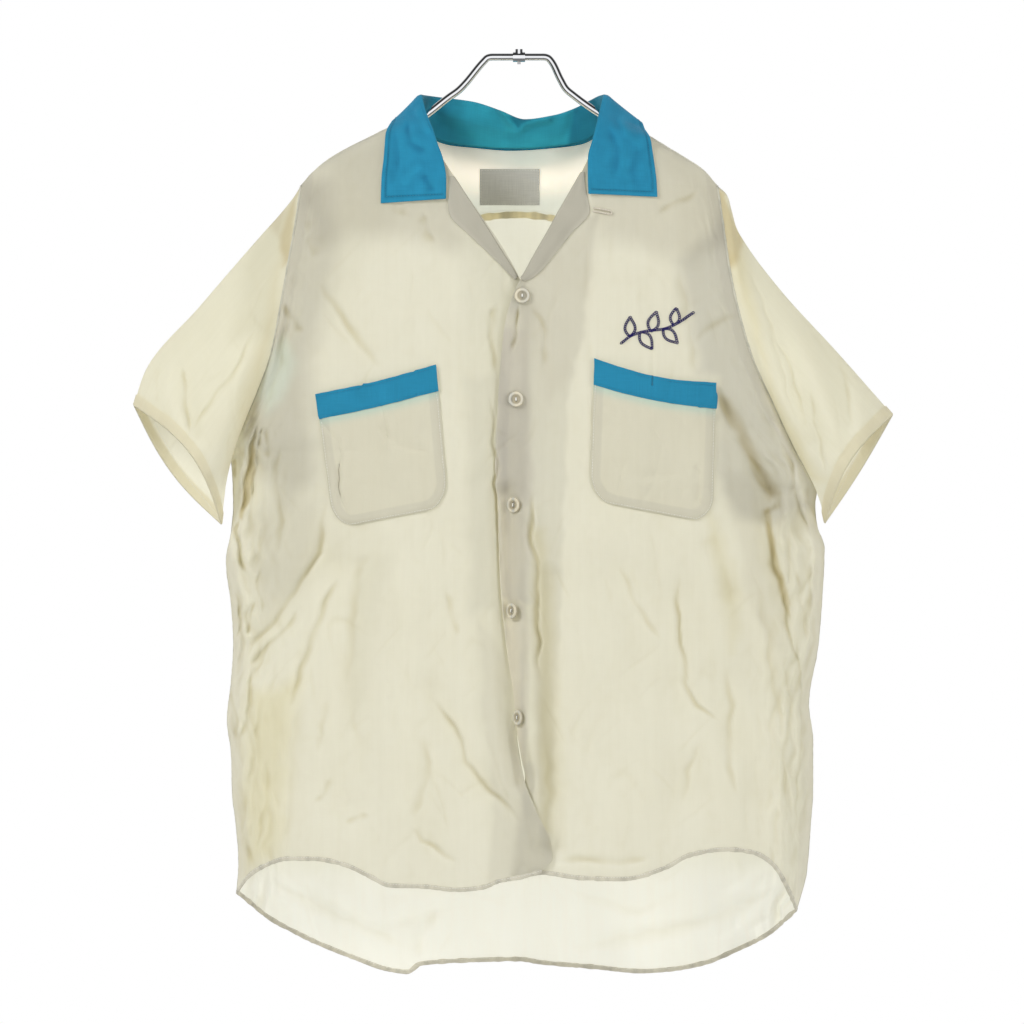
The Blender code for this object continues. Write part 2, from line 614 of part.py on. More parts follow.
def collar():
    """Camp collar: two leaves on the fronts, joined round the neck by a stand with its fall."""
    neck = []
    for row in COLLAR:
        fold, edge = np.array(row.fold, float), np.array(row.edge, float)
        half = LEFT if fold[0] > 0 else RIGHT
        x, z = row.seam
        seam_y = 0 if abs(fold[1]) < 2 else back_y(x, z) if fold[1] > 0 else front_y(half, x, z)
        if fold[1] > 10:
            edge[1] = max(edge[1], on_back(edge[[0, 2]], LAYER + BACK_LIFT)[1])
        section = rolled(np.array([x, float(seam_y), z]), fold, edge, row.roll)
        if fold[1] < -2:
            section[5:8] = [over_front(half, point) for point in section[5:8]]
        neck.append(section)
    sections = leaf_rows(RIGHT, RIGHT_LEAF) + neck + leaf_rows(LEFT, LEFT_LEAF)[::-1]
    cloth("collar", np.array(sections), TEAL)


def lapel(name, half, table):
    """The facing, turned out over the front along the roll line."""
    inner = on_front(half, [row.inner for row in table], LAYER)
    outer = on_front(half, [row.outer for row in table], LAYER)
    middle = on_front(half, [np.mean(row, axis=0) for row in table], LAYER + ON_TOP)
    cloth(name, np.stack([inner, middle, outer], axis=1))


def pocket_points(pocket, across, down):
    """Grid of (x, z) between shares of a pocket's width and height, with rounded lower corners."""
    corners = np.array([pocket.top_a, pocket.top_b, pocket.low_a, pocket.low_b], float)
    height = np.linalg.norm(corners[2] - corners[0])
    width = np.linalg.norm(corners[1] - corners[0])
    a, b = np.meshgrid(across, down)
    into = np.clip((b - 1) * height / POCKET_CORNER[1] + 1, 0, 1)
    narrow = POCKET_CORNER[0] / width * (1 - np.sqrt(1 - into**2))
    a = 0.5 + (a - 0.5) * (1 - 2 * narrow)
    a, b = a[..., None], b[..., None]
    grid = (1 - b) * ((1 - a) * corners[0] + a * corners[1]) + b * ((1 - a) * corners[2] + a * corners[3])
    grid[..., 1] -= pocket.sag * np.sin(math.pi * a[..., 0]) * (1 - b[..., 0]) ** 2
    return grid


def pocket(pocket, half):
    """A patch pocket and its teal band, laid on the front's own surface."""
    across = np.array([0, 0.04, 0.14, 0.3, 0.5, 0.7, 0.86, 0.96, 1])
    height = math.dist(pocket.top_a, pocket.low_a)
    seam = (CLOTH + GAP) / 2 / height
    body = np.concatenate([np.linspace(BAND_SHARE + GAP / height, 0.8, 5), [0.86, 0.91, 0.95, 0.98, 1]])
    band = np.array([0, BAND_SHARE / 2, BAND_SHARE - seam / 4])
    for name, colour, down in (("pocket_", CREAM, body), ("pocket_band_", TEAL, band)):
        points = pocket_points(pocket, across, down)
        mouth = np.outer(np.clip(1 - down / 0.5, 0, 1) ** 1.5, np.sin(math.pi * across))
        cloth(name + pocket.name, on_front(half, points, LAYER + ON_TOP + MOUTH_LIFT * mouth), colour)


def label():
    """Woven label sewn inside the yoke below the neck seam."""
    across = np.linspace(-38, -38 + LABEL_SIZE[0], 5)
    down = np.linspace(-106, -106 - LABEL_SIZE[1], 4)
    points = np.stack(np.meshgrid(across, down), axis=-1)
    inside = -(CLOTH / 2 + GAP + LABEL_WALL / 2 + 0.2)
    cloth("label", on_back(points, inside), GREY, wall=LABEL_WALL)


def turned(name, profile, steps, colour, roughness, metallic):
    """A profile of (radius, height) in mm turned about Z."""
    mesh = bpy.data.meshes.new(name)
    points = [(r * MM, 0, h * MM) for r, h in profile]
    mesh.from_pydata(points, [(k, k + 1) for k in range(len(points) - 1)], [])
    obj = bpy.data.objects.new(name, mesh)
    screw = obj.modifiers.new("Turn", "SCREW")
    screw.steps = screw.render_steps = steps
    screw.use_merge_vertices = True
    screw.merge_threshold = 1e-5
    finish(obj, colour, roughness, metallic)
    return obj


def seat(tree, middle, out):
    """Distance along out from middle to a button's underside, GAP off the highest cloth under it."""
    side = np.cross(out, (0, 0, 1))
    side /= np.linalg.norm(side)
    up = np.cross(side, out)
    drops = []
    for radius in np.linspace(0, BUTTON_R, 6):
        for angle in np.linspace(0, math.tau, 24, endpoint=False):
            start = middle + out * BUTTON_FAR + radius * (side * math.cos(angle) + up * math.sin(angle))
            hit = tree.ray_cast(Vector(start * MM), Vector(-out), 2 * BUTTON_FAR * MM)
            if hit[3] is not None:
                drops.append(hit[3] / MM)
    return BUTTON_FAR - min(drops) + GAP


def buttons(panel):
    """Pearl buttons on the left front's strip, facing out of the cloth."""
    rim, dish = BUTTON_T / 2, BUTTON_T / 2 - BUTTON_DISH
    profile = ((0, dish), (4.2, dish), (5.8, rim), (BUTTON_R, rim - BUTTON_RIM),
               (BUTTON_R, -rim + BUTTON_RIM), (BUTTON_R - 1.2, -rim), (0, -rim))
    tree = BVHTree.FromObject(panel, bpy.context.evaluated_depsgraph_get())
    reach = np.linspace(-BUTTON_R, BUTTON_R, 9)
    for number, button in enumerate(BUTTONS, 1):
        under = front_y(LEFT, button.x + reach, np.full(9, float(button.z)))
        middle = np.array([button.x, under[4], button.z])
        turn = math.atan(np.polyfit(reach, under, 1)[0]) - math.radians(button.turn)
        out = np.array([math.sin(turn), -math.cos(turn), 0])
        obj = turned(f"button_{number}", profile, BUTTON_STEPS, PEARL, 0.25, 0)
        obj.location = (middle + out * (seat(tree, middle, out) + BUTTON_T / 2)) * MM
        obj.rotation_euler = (math.radians(90), 0, turn)


def tube(name, points, radius, colour, roughness, metallic, sides=2):
    """Round bar through the points (x, y, z)."""
    curve = bpy.data.curves.new(name, "CURVE")
    curve.dimensions = "3D"
    curve.bevel_depth = radius * MM
    curve.bevel_resolution = sides
    curve.use_fill_caps = True
    spline = curve.splines.new("POLY")
    spline.points.add(len(points) - 1)
    for point, place in zip(spline.points, points):
        point.co = (*(np.asarray(place) * MM), 1)
    obj = bpy.data.objects.new(name, curve)
    finish(obj, colour, roughness, metallic)
    return obj


def collar_loop():
    """Thin cloth loop from the left lapel's corner, lying on the front."""
    half_width = LOOP_WIDTH / 2 - LOOP_WIRE_R
    straight = LOOP_LENGTH - half_width
    turn = np.linspace(math.pi / 2, -math.pi / 2, 7)
    bend = np.stack([straight + half_width * np.cos(turn), half_width * np.sin(turn)], axis=-1)
    path = np.concatenate([[(0, half_width), (straight / 2, half_width)], bend,
                           [(straight / 2, -half_width), (0, -half_width)]])
    x = LOOP_ROOT[0] + path[:, 0]
    z = LOOP_ROOT[1] - half_width + path[:, 1] + path[:, 0] * LOOP_SLANT
    lift = CLOTH / 2 + GAP + LOOP_WIRE_R + 0.2
    tube("collar_loop", on_front(LEFT, np.stack([x, z], axis=-1), lift), LOOP_WIRE_R, CREAM, 0.8, 0)


def hanger():
    """Bent chrome tube: the trapezoid above the collar and an arm under each shoulder."""
    runs = []
    for half, table, end in ((RIGHT, HANGER_RIGHT, ARM_END[1]), (LEFT, HANGER_LEFT, ARM_END[0])):
        outs = np.linspace(abs(table[-1][0]) + 14, end, 6)
        slopes = shoulder_z(half, outs + 0.5) - shoulder_z(half, outs - 0.5)
        heights = shoulder_z(half, outs) - TUBE_DROP * np.hypot(1, slopes)
        runs.append([(x, 0, z) for x, z in list(table) + list(zip(outs * half.sign, heights))])
    tube("hanger", runs[0][::-1] + runs[1], TUBE_R, CHROME, 0.08, 1)


def helper(name, radius, low, high, turn=0):
    """Hidden cylinder from low to high along its axis, for a Boolean of the fitting."""
    bpy.ops.mesh.primitive_cylinder_add(
        vertices=20, radius=radius * MM, depth=(high - low) * MM, location=(0, 0, (low + high) / 2 * MM),
        rotation=(0, math.radians(turn), 0))
    obj = bpy.context.object
    obj.name = name
    obj.hide_render = True
    obj.display_type = "WIRE"
    for collection in list(obj.users_collection):
        collection.objects.unlink(obj)
    bpy.data.collections["helpers"].objects.link(obj)
    return obj


def hanger_fitting():
    """Short sleeve round the top bar, with the boss for the hook above it and a stub below."""
    half_length = FITTING_L / 2
    profile = ((0, half_length), (FITTING_R, half_length), (FITTING_R, -half_length), (0, -half_length))
    body = turned("hanger_fitting", profile, 20, CHROME, 0.12, 1)
    body.rotation_euler = (0, math.radians(90), 0)
    steps = (
        (helper("boss_above", BOSS_R, 1, BOSS_TOP), "UNION"),
        (helper("stub_below", STUB_R, STUB_END, -1), "UNION"),
        (helper("bore", TUBE_R + GAP, -2 * half_length, 2 * half_length, 90), "DIFFERENCE"),
    )
    for other, operation in steps:
        step = body.modifiers.new(other.name, "BOOLEAN")
        step.operation = operation
        step.solver = "EXACT"
        step.object = other


def clear_scene():
    for obj in list(bpy.data.objects):
        bpy.data.objects.remove(obj)
    for name in ("bowling_shirt_on_hanger", "helpers"):
        bpy.context.scene.collection.children.link(bpy.data.collections.new(name))


def main():
    clear_scene()
    left_front = front("front_left", LEFT)
    front("front_right", RIGHT)
    back(yoke())
    sleeve("sleeve_left", LEFT)
    sleeve("sleeve_right", RIGHT)
    collar()
    lapel("facing_left", LEFT, LEFT_LAPEL)
    lapel("facing_right", RIGHT, RIGHT_LAPEL)
    collar_loop()
    pocket(POCKETS[0], RIGHT)
    pocket(POCKETS[1], LEFT)
    buttons(left_front)
    label()
    hanger()
    hanger_fitting()


main()
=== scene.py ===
"""Bowling shirt with a camp collar on a chrome tube hanger: cloth, sewing, buttons, finishes, light and camera.

Sizes are in millimetres until a mesh is made. +Z is up, the front faces -Y, the wearer's left is +X, and the
origin is the middle of the hanger's top bar. A half's own x, called out, runs from the middle to its side seam.
"""

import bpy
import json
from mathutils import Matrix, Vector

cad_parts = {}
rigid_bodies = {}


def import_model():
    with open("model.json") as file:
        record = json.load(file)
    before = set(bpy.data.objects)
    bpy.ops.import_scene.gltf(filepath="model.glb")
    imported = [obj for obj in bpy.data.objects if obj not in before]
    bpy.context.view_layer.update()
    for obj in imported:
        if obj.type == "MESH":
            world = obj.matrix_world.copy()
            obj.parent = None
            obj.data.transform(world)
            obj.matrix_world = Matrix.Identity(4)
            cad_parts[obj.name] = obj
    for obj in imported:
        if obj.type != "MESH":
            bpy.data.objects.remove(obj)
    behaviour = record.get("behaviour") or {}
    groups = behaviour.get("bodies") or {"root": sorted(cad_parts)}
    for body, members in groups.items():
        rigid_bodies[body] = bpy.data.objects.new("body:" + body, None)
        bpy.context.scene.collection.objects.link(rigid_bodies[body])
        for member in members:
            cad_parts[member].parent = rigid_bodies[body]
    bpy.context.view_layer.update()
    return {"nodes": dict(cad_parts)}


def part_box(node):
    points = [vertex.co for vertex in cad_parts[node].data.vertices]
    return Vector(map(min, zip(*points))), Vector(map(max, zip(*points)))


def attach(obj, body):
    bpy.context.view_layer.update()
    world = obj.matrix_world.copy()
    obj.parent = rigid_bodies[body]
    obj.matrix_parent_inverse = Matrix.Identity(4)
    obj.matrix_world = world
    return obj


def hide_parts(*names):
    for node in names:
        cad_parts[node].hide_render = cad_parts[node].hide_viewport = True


bl_info = {
    "name": "Bowling shirt on a hanger",
    "version": (1, 0, 0),
    "blender": (4, 5, 0),
    "location": "3D View > Sidebar > Shirt",
    "description": "Cloth, sewing, buttons, hanger and stage for the packed bowling shirt",
    "category": "Object",
}

import json
import math
from collections import namedtuple
from functools import partial

import bpy
import numpy as np
from mathutils import Matrix, Vector

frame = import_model()

MM = 0.001

# Cloth layers: from the middle of one layer to the middle of the next
SEAM_HALF = 0.15
LAYER = 2.0
ON_TOP = 0.3
BACK_LIFT = 1.5
SHOULDER_ROUND = 60.0
SIDE_POWERS = (2.4, 0.6)
ARMHOLE_DEPTH = (38.0, 36.0)
CUFF_DEPTH = (50.0, 46.0)
PLACKET_LIFT = 2.15
CROSS_TOP, CROSS_END = -655.0, -700.0
PLACKET_WIDTH, PLACKET_FADE = 16.0, 42.0
FOLD_FADE = 30.0

# Body sections from the neck down: height, half depth in front, half depth behind
Section = namedtuple("Section", "z front back")
SECTIONS = (
    Section(-40, 32, 36),
    Section(-90, 42, 40),
    Section(-130, 50, 45),
    Section(-200, 58, 51),
    Section(-330, 66, 57),
    Section(-450, 68, 59),
    Section(-600, 66, 61),
    Section(-780, 62, 62),
    Section(-890, 58, 60),
)

# One half of the body. Each outline is a row of (out, z) points.
Half = namedtuple("Half", "sign shoulder armhole side edge hem back_hem top under cuff_front cuff_back")
LEFT = Half(
    sign=1,
    shoulder=((88, -53), (128, -78), (160, -97.5), (176, -108), (190, -123.5)),
    armhole=((190, -123.5), (195, -160), (201, -203), (221, -284), (241, -329), (264, -377), (286, -414)),
    side=((286, -414), (284, -432), (286, -450), (293, -472), (291, -516), (287, -565), (278, -621),
          (282, -657), (282, -704), (280, -733), (276, -782), (266, -820)),
    edge=((88, -53), (80, -68), (71, -88), (64, -104), (1, -216), (-8, -236), (-14, -262), (-19, -320),
          (-22, -396), (-20, -440), (-17, -507), (-11, -569), (-5, -612), (-2, -645), (2, -670), (6, -692),
          (1, -730), (-7, -788)),
    hem=((-7, -788), (21, -783), (60, -788), (99, -789), (138, -779), (164, -766), (197, -761), (223, -764),
         (242, -775), (258, -801), (266, -820)),
    back_hem=((0, -870), (21, -873), (70, -877), (119, -881), (148, -879), (178, -873), (207, -861),
              (240, -843), (266, -820)),
    top=((190, -123.5), (199.5, -133), (204, -148), (208, -163), (217, -179), (251, -224), (305, -283),
         (359, -344)),
    under=(294, -448),
    cuff_front=12,
    cuff_back=-3,
)
RIGHT = Half(
    sign=-1,
    shoulder=((97, -55), (140, -75.5), (182, -98), (198, -111), (209, -123.5)),
    armhole=((209, -123.5), (213, -155), (219, -190), (226, -230), (237, -285), (249, -318), (262, -348),
             (277, -378)),
    side=((277, -378), (275, -400), (274, -430), (276, -455), (281, -484), (276, -527), (274, -563),
          (276, -598), (280, -636), (276, -670), (275, -709), (272, -733), (269, -773), (271, -803)),
    edge=((97, -55), (89, -70), (80, -88), (67, -109), (-1, -216), (-9, -238), (-9, -300), (-9, -560),
          (-7, -617), (2.4, -650), (-0.4, -671), (-4.2, -692), (-16, -722), (-30, -752), (-32, -767),
          (-20, -781)),
    hem=((-20, -781), (-3, -786), (22, -791), (34, -796), (61, -799), (91, -796), (124, -795), (144, -786),
         (169, -775), (197, -770), (222, -770), (244, -777), (259, -787), (271, -803)),
    back_hem=((0, -870), (52, -871), (95, -874), (108, -882), (124, -880), (159, -868), (197, -852),
              (238, -830), (271, -803)),
    top=((209, -123.5), (215.5, -134), (229, -151), (247, -171), (306, -239), (359, -302), (370, -335)),
    under=(286, -449),
    cuff_front=17,
    cuff_back=-10,
)
HALVES = {"left": LEFT, "right": RIGHT}

# The back neck seam and the yoke's lower seam, from the right half to the left: (x, z)
NECK_SEAM = ((-97, -55), (-92, -66), (-83, -78), (-66, -84), (-47, -86), (-8, -89), (39, -86), (60, -83),
             (71, -78), (81, -66), (88, -53))
YOKE_SEAM = ((-220, -195), (-116, -178), (0, -157), (116, -180), (200, -197))
YOKE_SHARE = 0.225

# Ridges (height over 0) and troughs (under 0): height, width, points (x, z)
Fold = namedtuple("Fold", "height width points")
FRONT_FOLDS = (
    # Beside and under the button strip
    Fold(4, 11, ((-32, -290), (-31, -400), (-29, -520), (-24, -620), (-14, -700))),
    Fold(-8, 11, ((-12, -420), (-11, -520), (-6, -600), (-3, -650), (2, -690))),
    Fold(6, 10, ((10, -440), (10, -560), (12, -640), (17, -700), (20, -745))),
    Fold(-6, 11, ((30, -500), (33, -620), (37, -700), (36, -755))),
    # Left front
    Fold(-5, 20, ((196, -350), (216, -390), (238, -420))),
    Fold(-6, 16, ((240, -405), (233, -446), (251, -540))),
    Fold(-5, 19, ((207, -521), (251, -617))),
    Fold(-5, 20, ((201, -598), (227, -704))),
    Fold(-5, 22, ((153, -521), (160, -598), (198, -650))),
    Fold(-5, 26, ((97, -500), (135, -600), (157, -700))),
    Fold(4, 18, ((268, -560), (258, -700), (254, -770))),
    # Right front
    Fold(-7, 15, ((-256, -400), (-252, -500))),
    Fold(-6, 19, ((-181, -483), (-225, -530), (-258, -580))),
    Fold(-6, 24, ((-172, -497), (-210, -590), (-225, -690))),
    Fold(-6, 30, ((-148, -483), (-160, -600), (-167, -710))),
    Fold(-4, 17, ((-85, -608), (-66, -650), (-40, -700))),
    Fold(4, 24, ((-110, -520), (-104, -720))),
    Fold(4, 16, ((-252, -620), (-244, -760))),
    Fold(-4, 18, ((-220, -215), (-234, -290))),
)
BACK_FOLDS = (
    Fold(-7, 34, ((-60, -230), (-72, -560), (-80, -850))),
    Fold(6, 30, ((-5, -180), (2, -520), (-8, -860))),
    Fold(-8, 36, ((78, -230), (88, -560), (104, -860))),
    Fold(5, 30, ((150, -420), (160, -840))),
    Fold(5, 28, ((-150, -420), (-158, -830))),
    Fold(-6, 20, ((-236, -430), (-232, -760))),
    Fold(-6, 20, ((240, -470), (236, -770))),
)

# Painted shade where layers lie over each other and less light comes through, and painted light where a tint is over
# 1: tint, softness of the edge, outline (x, z)
Zone = namedtuple("Zone", "tint soft outline")
# Painted shades, from the most layers to the fewest
DENSE_SHADE = (0.80, 0.80, 0.815)
MEDIUM_SHADE = (0.89, 0.89, 0.89)
LIGHT = (0.95, 0.95, 0.94)

# Creases are drawn on squared paper: GRID mm a square, with the origin at square ORIGIN, counted down the page
GRID = 0.96
ORIGIN = (519, 57)


def squared(squares):
    return tuple(((x - ORIGIN[0]) * GRID, (ORIGIN[1] - y) * GRID) for x, y in squares)


def drawn(*rows):
    """Folds through squares of the paper: height, width and squares."""
    return tuple(Fold(height, width, squared(squares)) for height, width, *squares in rows)


def outlined(*rows):
    """Zones round squares of the paper: tint, soft edge and squares."""
    return tuple(Zone(tint, soft, squared(squares)) for tint, soft, *squares in rows)


FRONT_CREASES = drawn(
    # Left front, beside the strip and across the panel
    (-2.6, 3, (536, 486), (532, 511), (531, 535), (538, 564), (537, 604), (538, 645), (540, 686)),
    (-2.0, 7, (541, 690), (546, 740), (549, 800), (546, 840)),
    (-1.6, 2.6, (679, 566), (677, 594), (679, 625), (683, 655), (685, 682), (697, 704), (725, 728)),
    (-0.8, 3, (616, 564), (630, 592), (646, 621), (663, 645)),
    (-0.9, 3.5, (700, 740), (687, 772), (683, 802)),
    (-1.2, 4, (550, 856), (620, 863), (655, 856)),
    (-1.3, 10, (708, 523), (716, 553), (726, 584), (732, 613)),
    (-1.8, 6, (757, 576), (761, 611), (769, 641), (775, 700), (770, 760)),
    (-1.2, 4, (726, 660), (732, 705), (728, 752), (737, 800)),
    # Left front, armhole and side
    (-3.4, 7, (708, 380), (726, 413), (740, 433), (751, 466), (761, 482), (773, 496), (780, 520)),
    (-3.2, 4.2, (781, 488), (778, 505), (765, 512), (764, 520), (771, 539), (773, 564), (783, 596), (787, 621),
     (792, 650)),
    (2.0, 5, (782, 488), (785, 512), (780, 530), (786, 560)),
    (-1.5, 2.5, (785, 449), (792, 466), (793, 486), (799, 511), (806, 521), (812, 539)),
    (-1.1, 2.5, (802, 500), (816, 515), (823, 524)),
    (-0.9, 1.6, (795, 519), (791, 543), (787, 574), (785, 600), (789, 635), (800, 674), (801, 740), (796, 800),
     (792, 860)),
    (-1.3, 3, (793, 564), (804, 615), (806, 650)),
    (-1.4, 3.5, (812, 560), (808, 600), (812, 640)),
    (-1.5, 4, (779, 640), (790, 700), (783, 760), (788, 820)),
    (-1.1, 3, (655, 215), (680, 200), (700, 190)),
    (-1.0, 3, (690, 345), (715, 325), (740, 315)),
    (-1.0, 5, (677, 260), (685, 320), (697, 380)),
    (-1.0, 4, (730, 430), (748, 455), (765, 480)),
    # Pockets
    (-1.4, 3, (342, 434), (342, 460), (339.6, 487), (346, 504), (352, 518)),
    (-0.8, 4, (372, 420), (398, 446), (430, 452)),
    (-1.0, 4.5, (697, 462), (698, 498), (706, 510)),
    (-0.7, 5, (600, 460), (640, 478), (682, 474)),
    # Neck and placket
    (-1.5, 1.7, (519, 302), (516, 335), (512, 353)),
    (-1.2, 3.5, (502, 302), (492, 315), (490.5, 338), (496, 380)),
    (-1.5, 2, (490, 391), (494, 437), (497, 474), (495, 487), (499, 533), (502, 590)),
    (-1.0, 3, (530, 303), (545, 330), (541, 372)),
    (-1.1, 4, (421, 214), (428, 236), (437, 247)),
    (-0.8, 5, (391, 213), (402, 213), (413, 216)),
    # Right front
    (-2.0, 3.5, (327, 495), (321, 552), (302, 583), (277, 619), (252, 648), (241, 667)),
    (-1.7, 3.5, (342, 573), (327, 600), (316, 632), (306, 653), (296, 684), (288, 716)),
    (-1.6, 7, (377, 548), (361, 564), (356, 606), (352, 648), (344, 690)),
    (-0.9, 4, (446, 587), (450, 610), (459, 638)),
    (-1.6, 3, (432, 695), (444, 711), (463, 738), (467, 760), (489, 789), (506, 803), (524, 823)),
    (-1.4, 3, (412, 825), (422, 840), (440, 850), (457, 862)),
    (-1.0, 5, (424, 729), (430, 762), (424, 787), (414, 822)),
    (-0.7, 3, (371, 811), (342, 823)),
    (-0.8, 4, (328, 697), (322, 725), (324, 735), (318, 754)),
    (-0.7, 3, (332, 774), (326, 793), (312, 803)),
    (1.2, 7, (302, 690), (293, 711), (287, 742), (285, 782), (283, 823), (281, 854)),
    # Right front, armhole and side
    (-1.6, 4, (315, 280), (345, 320), (382, 372)),
    (-1.2, 4, (283, 300), (305, 335)),
    (-1.0, 5, (307, 215), (316, 265)),
    (-1.8, 5, (292, 262), (287, 330), (276, 380), (262, 420)),
    (-3.4, 2.2, (257, 418), (254, 439), (251, 455), (248, 469), (245, 487), (243, 505), (240, 522)),
    (-1.6, 1.8, (259, 446), (256, 470), (252, 490), (250, 506)),
    (2.4, 4, (251, 424), (245, 446), (241, 470), (237, 500)),
    (-3.6, 2.2, (241, 514), (237, 530), (240, 546), (242, 560), (246, 574)),
    (-1.8, 1.6, (262, 426), (261, 438), (260, 450)),
    (-3.0, 1.8, (229, 440), (231, 447), (229, 456)),
    (-2.6, 1.6, (228, 459), (228, 470), (230, 480)),
    (-2.6, 1.6, (234, 459), (235, 470), (237, 480)),
    (-1.5, 2.2, (257, 400), (253, 412), (246, 432)),
    (-1.4, 3, (268, 424), (269, 440), (266, 462)),
    (1.4, 4, (255, 480), (256, 520), (262, 560), (258, 590)),
    (-1.2, 2, (250, 600), (246, 618), (252, 636)),
    (-1.0, 2, (262, 560), (258, 590), (264, 616)),
    (-1.4, 4, (282, 440), (276, 480), (283, 520), (276, 560)),
    (-2.2, 2, (235, 588), (239, 606), (241, 622), (238, 640)),
    (-1.4, 2, (254, 596), (251, 619), (248, 640)),
    (-1.4, 3, (300, 606), (280, 636), (262, 652), (244, 672)),
    (-1.3, 3, (272, 640), (258, 668), (244, 690)),
    (-1.7, 3, (251, 668), (250, 705), (239, 746)),
    (-1.5, 3, (232, 680), (236, 721), (239, 748)),
    (-1.2, 4, (262, 690), (256, 730), (262, 770)),
    (-1.4, 4, (247, 780), (243, 830), (252, 868)),
    (-1.0, 3, (270, 760), (266, 800), (258, 850)),
)
BACK_CREASES = (
    Fold(0.7, 3, ((-4, -164), (-4, -300), (-2, -420))),
    *drawn((-2.0, 9, (790, 890), (700, 925), (560, 955)),
           (-1.2, 6, (262, 880), (330, 915), (410, 952)),
           (1.2, 8, (300, 890), (380, 925), (470, 900)),
           (-1.0, 6, (560, 890), (640, 915), (690, 890)),
           (-1.1, 5, (412, 968), (425, 935), (440, 912))),
    Fold(-2.0, 9, ((-170, -200), (-150, -330), (-185, -520))),
    Fold(-2.2, 8, ((176, -205), (150, -350), (172, -560))),
    Fold(-1.8, 7, ((120, -420), (96, -600), (118, -790))),
    Fold(-1.8, 7, ((-110, -380), (-128, -560), (-104, -760))),
    Fold(1.8, 8, ((30, -250), (44, -480), (30, -700))),
    Fold(-1.6, 6, ((-30, -480), (-16, -640), (-34, -830))),
    Fold(-1.5, 5, ((236, -380), (214, -460), (238, -560))),
    Fold(-1.5, 5, ((-230, -360), (-212, -450), (-240, -560))),
)
SLEEVE_FOLDS = drawn(
    # Left sleeve
    (-6, 12, (742, 240), (775, 330), (812, 440)),
    (4, 14, (775, 262), (806, 330), (832, 432)),
    (3, 9, (862, 372), (860, 430)),
    # Right sleeve
    (-5, 12, (176, 350), (185, 390), (191, 436)),
    (4, 14, (232, 260), (190, 330), (160, 390)),
    (3, 12, (262, 330), (236, 400), (216, 470)),
)
SLEEVE_CREASES = drawn(
    # Left sleeve
    (-1.6, 2.4, (745, 252), (768, 320), (790, 372), (812, 440)),
    (-1.8, 3, (836, 345), (846, 385), (850, 428)),
    (-0.9, 2.4, (790, 300), (826, 352), (868, 398)),
    (-1.3, 2, (808, 384), (814, 420), (826, 480)),
    (-1.0, 2, (762, 290), (776, 350), (796, 430)),
    # Right sleeve
    (-1.8, 2.4, (262, 318), (240, 364), (216, 394), (190, 434)),
    (-2.0, 3, (184, 362), (187, 400), (192, 438)),
    (-0.9, 2, (278, 262), (258, 300), (250, 322)),
    (-0.7, 3, (160, 362), (156, 408)),
    (-1.0, 2, (250, 392), (232, 436), (222, 470)),
    (-0.8, 2, (246, 300), (262, 330), (258, 350)),
)
# Painted shade on the sleeves: in the folds at the hanger's ends and along the armholes
SLEEVE_SHADE_ZONES = {
    "left": outlined(
        ((0.82, 0.75, 0.60), 3.5, (716, 192), (727, 196), (733, 214), (741, 236), (737, 258), (728, 272), (721, 240)),
        ((0.97, 0.94, 0.84), 8, (728, 262), (742, 250), (772, 400), (820, 480), (800, 470)),
    ),
    "right": outlined(
        ((0.84, 0.78, 0.66), 3.5, (304, 184), (298, 196), (290, 262), (284, 270), (281, 240), (290, 205)),
        ((0.90, 0.87, 0.82), 4, (288, 205), (280, 238), (268, 228), (276, 212)),
        ((0.94, 0.91, 0.84), 9, (284, 250), (262, 380), (236, 470), (226, 470), (262, 330)),
        ((0.89, 0.885, 0.86), 14, (300, 184), (288, 260), (270, 330), (236, 340), (250, 240)),
    ),
}

# A side pleat of the back: where it is across the panel, how far its layers lap and how far they part
PLEAT_AT = (0.115, 0.885)
Pleat = namedtuple("Pleat", "z lap part")
PLEAT = (
    Pleat(-190, 10, 2.2),
    Pleat(-300, 9, 2.3),
    Pleat(-420, 7, 2.0),
    Pleat(-560, 4, 1.2),
    Pleat(-680, 1, 0.4),
    Pleat(-780, 0, 0),
    Pleat(-900, 0, 0),
)
PLEAT_LAYERS = ((-1.0, 1.0), (0.0, 1.05), (0.85, 1.0), (1.0, 0.5), (0.85, 0.0), (0.0, 0.0), (-0.85, 0.0),
                (-1.0, -0.5), (-0.85, -1.0), (0.0, -1.05), (1.0, -1.0))
PLEAT_EASE, PLEAT_SPREAD = 40.0, 8.0
PLEAT_OUT, PLEAT_CALM = 0.77, 26.0

# Collar leaves, from the tip end up: fold (x, z) and outer edge (x, z)
Leaf = namedtuple("Leaf", "fold edge")
RIGHT_LEAF = (
    Leaf((-70, -138), (-132, -142)),
    Leaf((-70, -120), (-131, -119)),
    Leaf((-73, -101), (-129, -100)),
    Leaf((-79, -84), (-128, -86)),
)
LEFT_LEAF = (
    Leaf((67, -133), (132, -136)),
    Leaf((66, -117), (131, -120)),
    Leaf((66, -99), (129, -104)),
    Leaf((70, -82), (127, -91)),
)
LEAF_ROLL, LEAF_LIFT = 1.1, 3.5

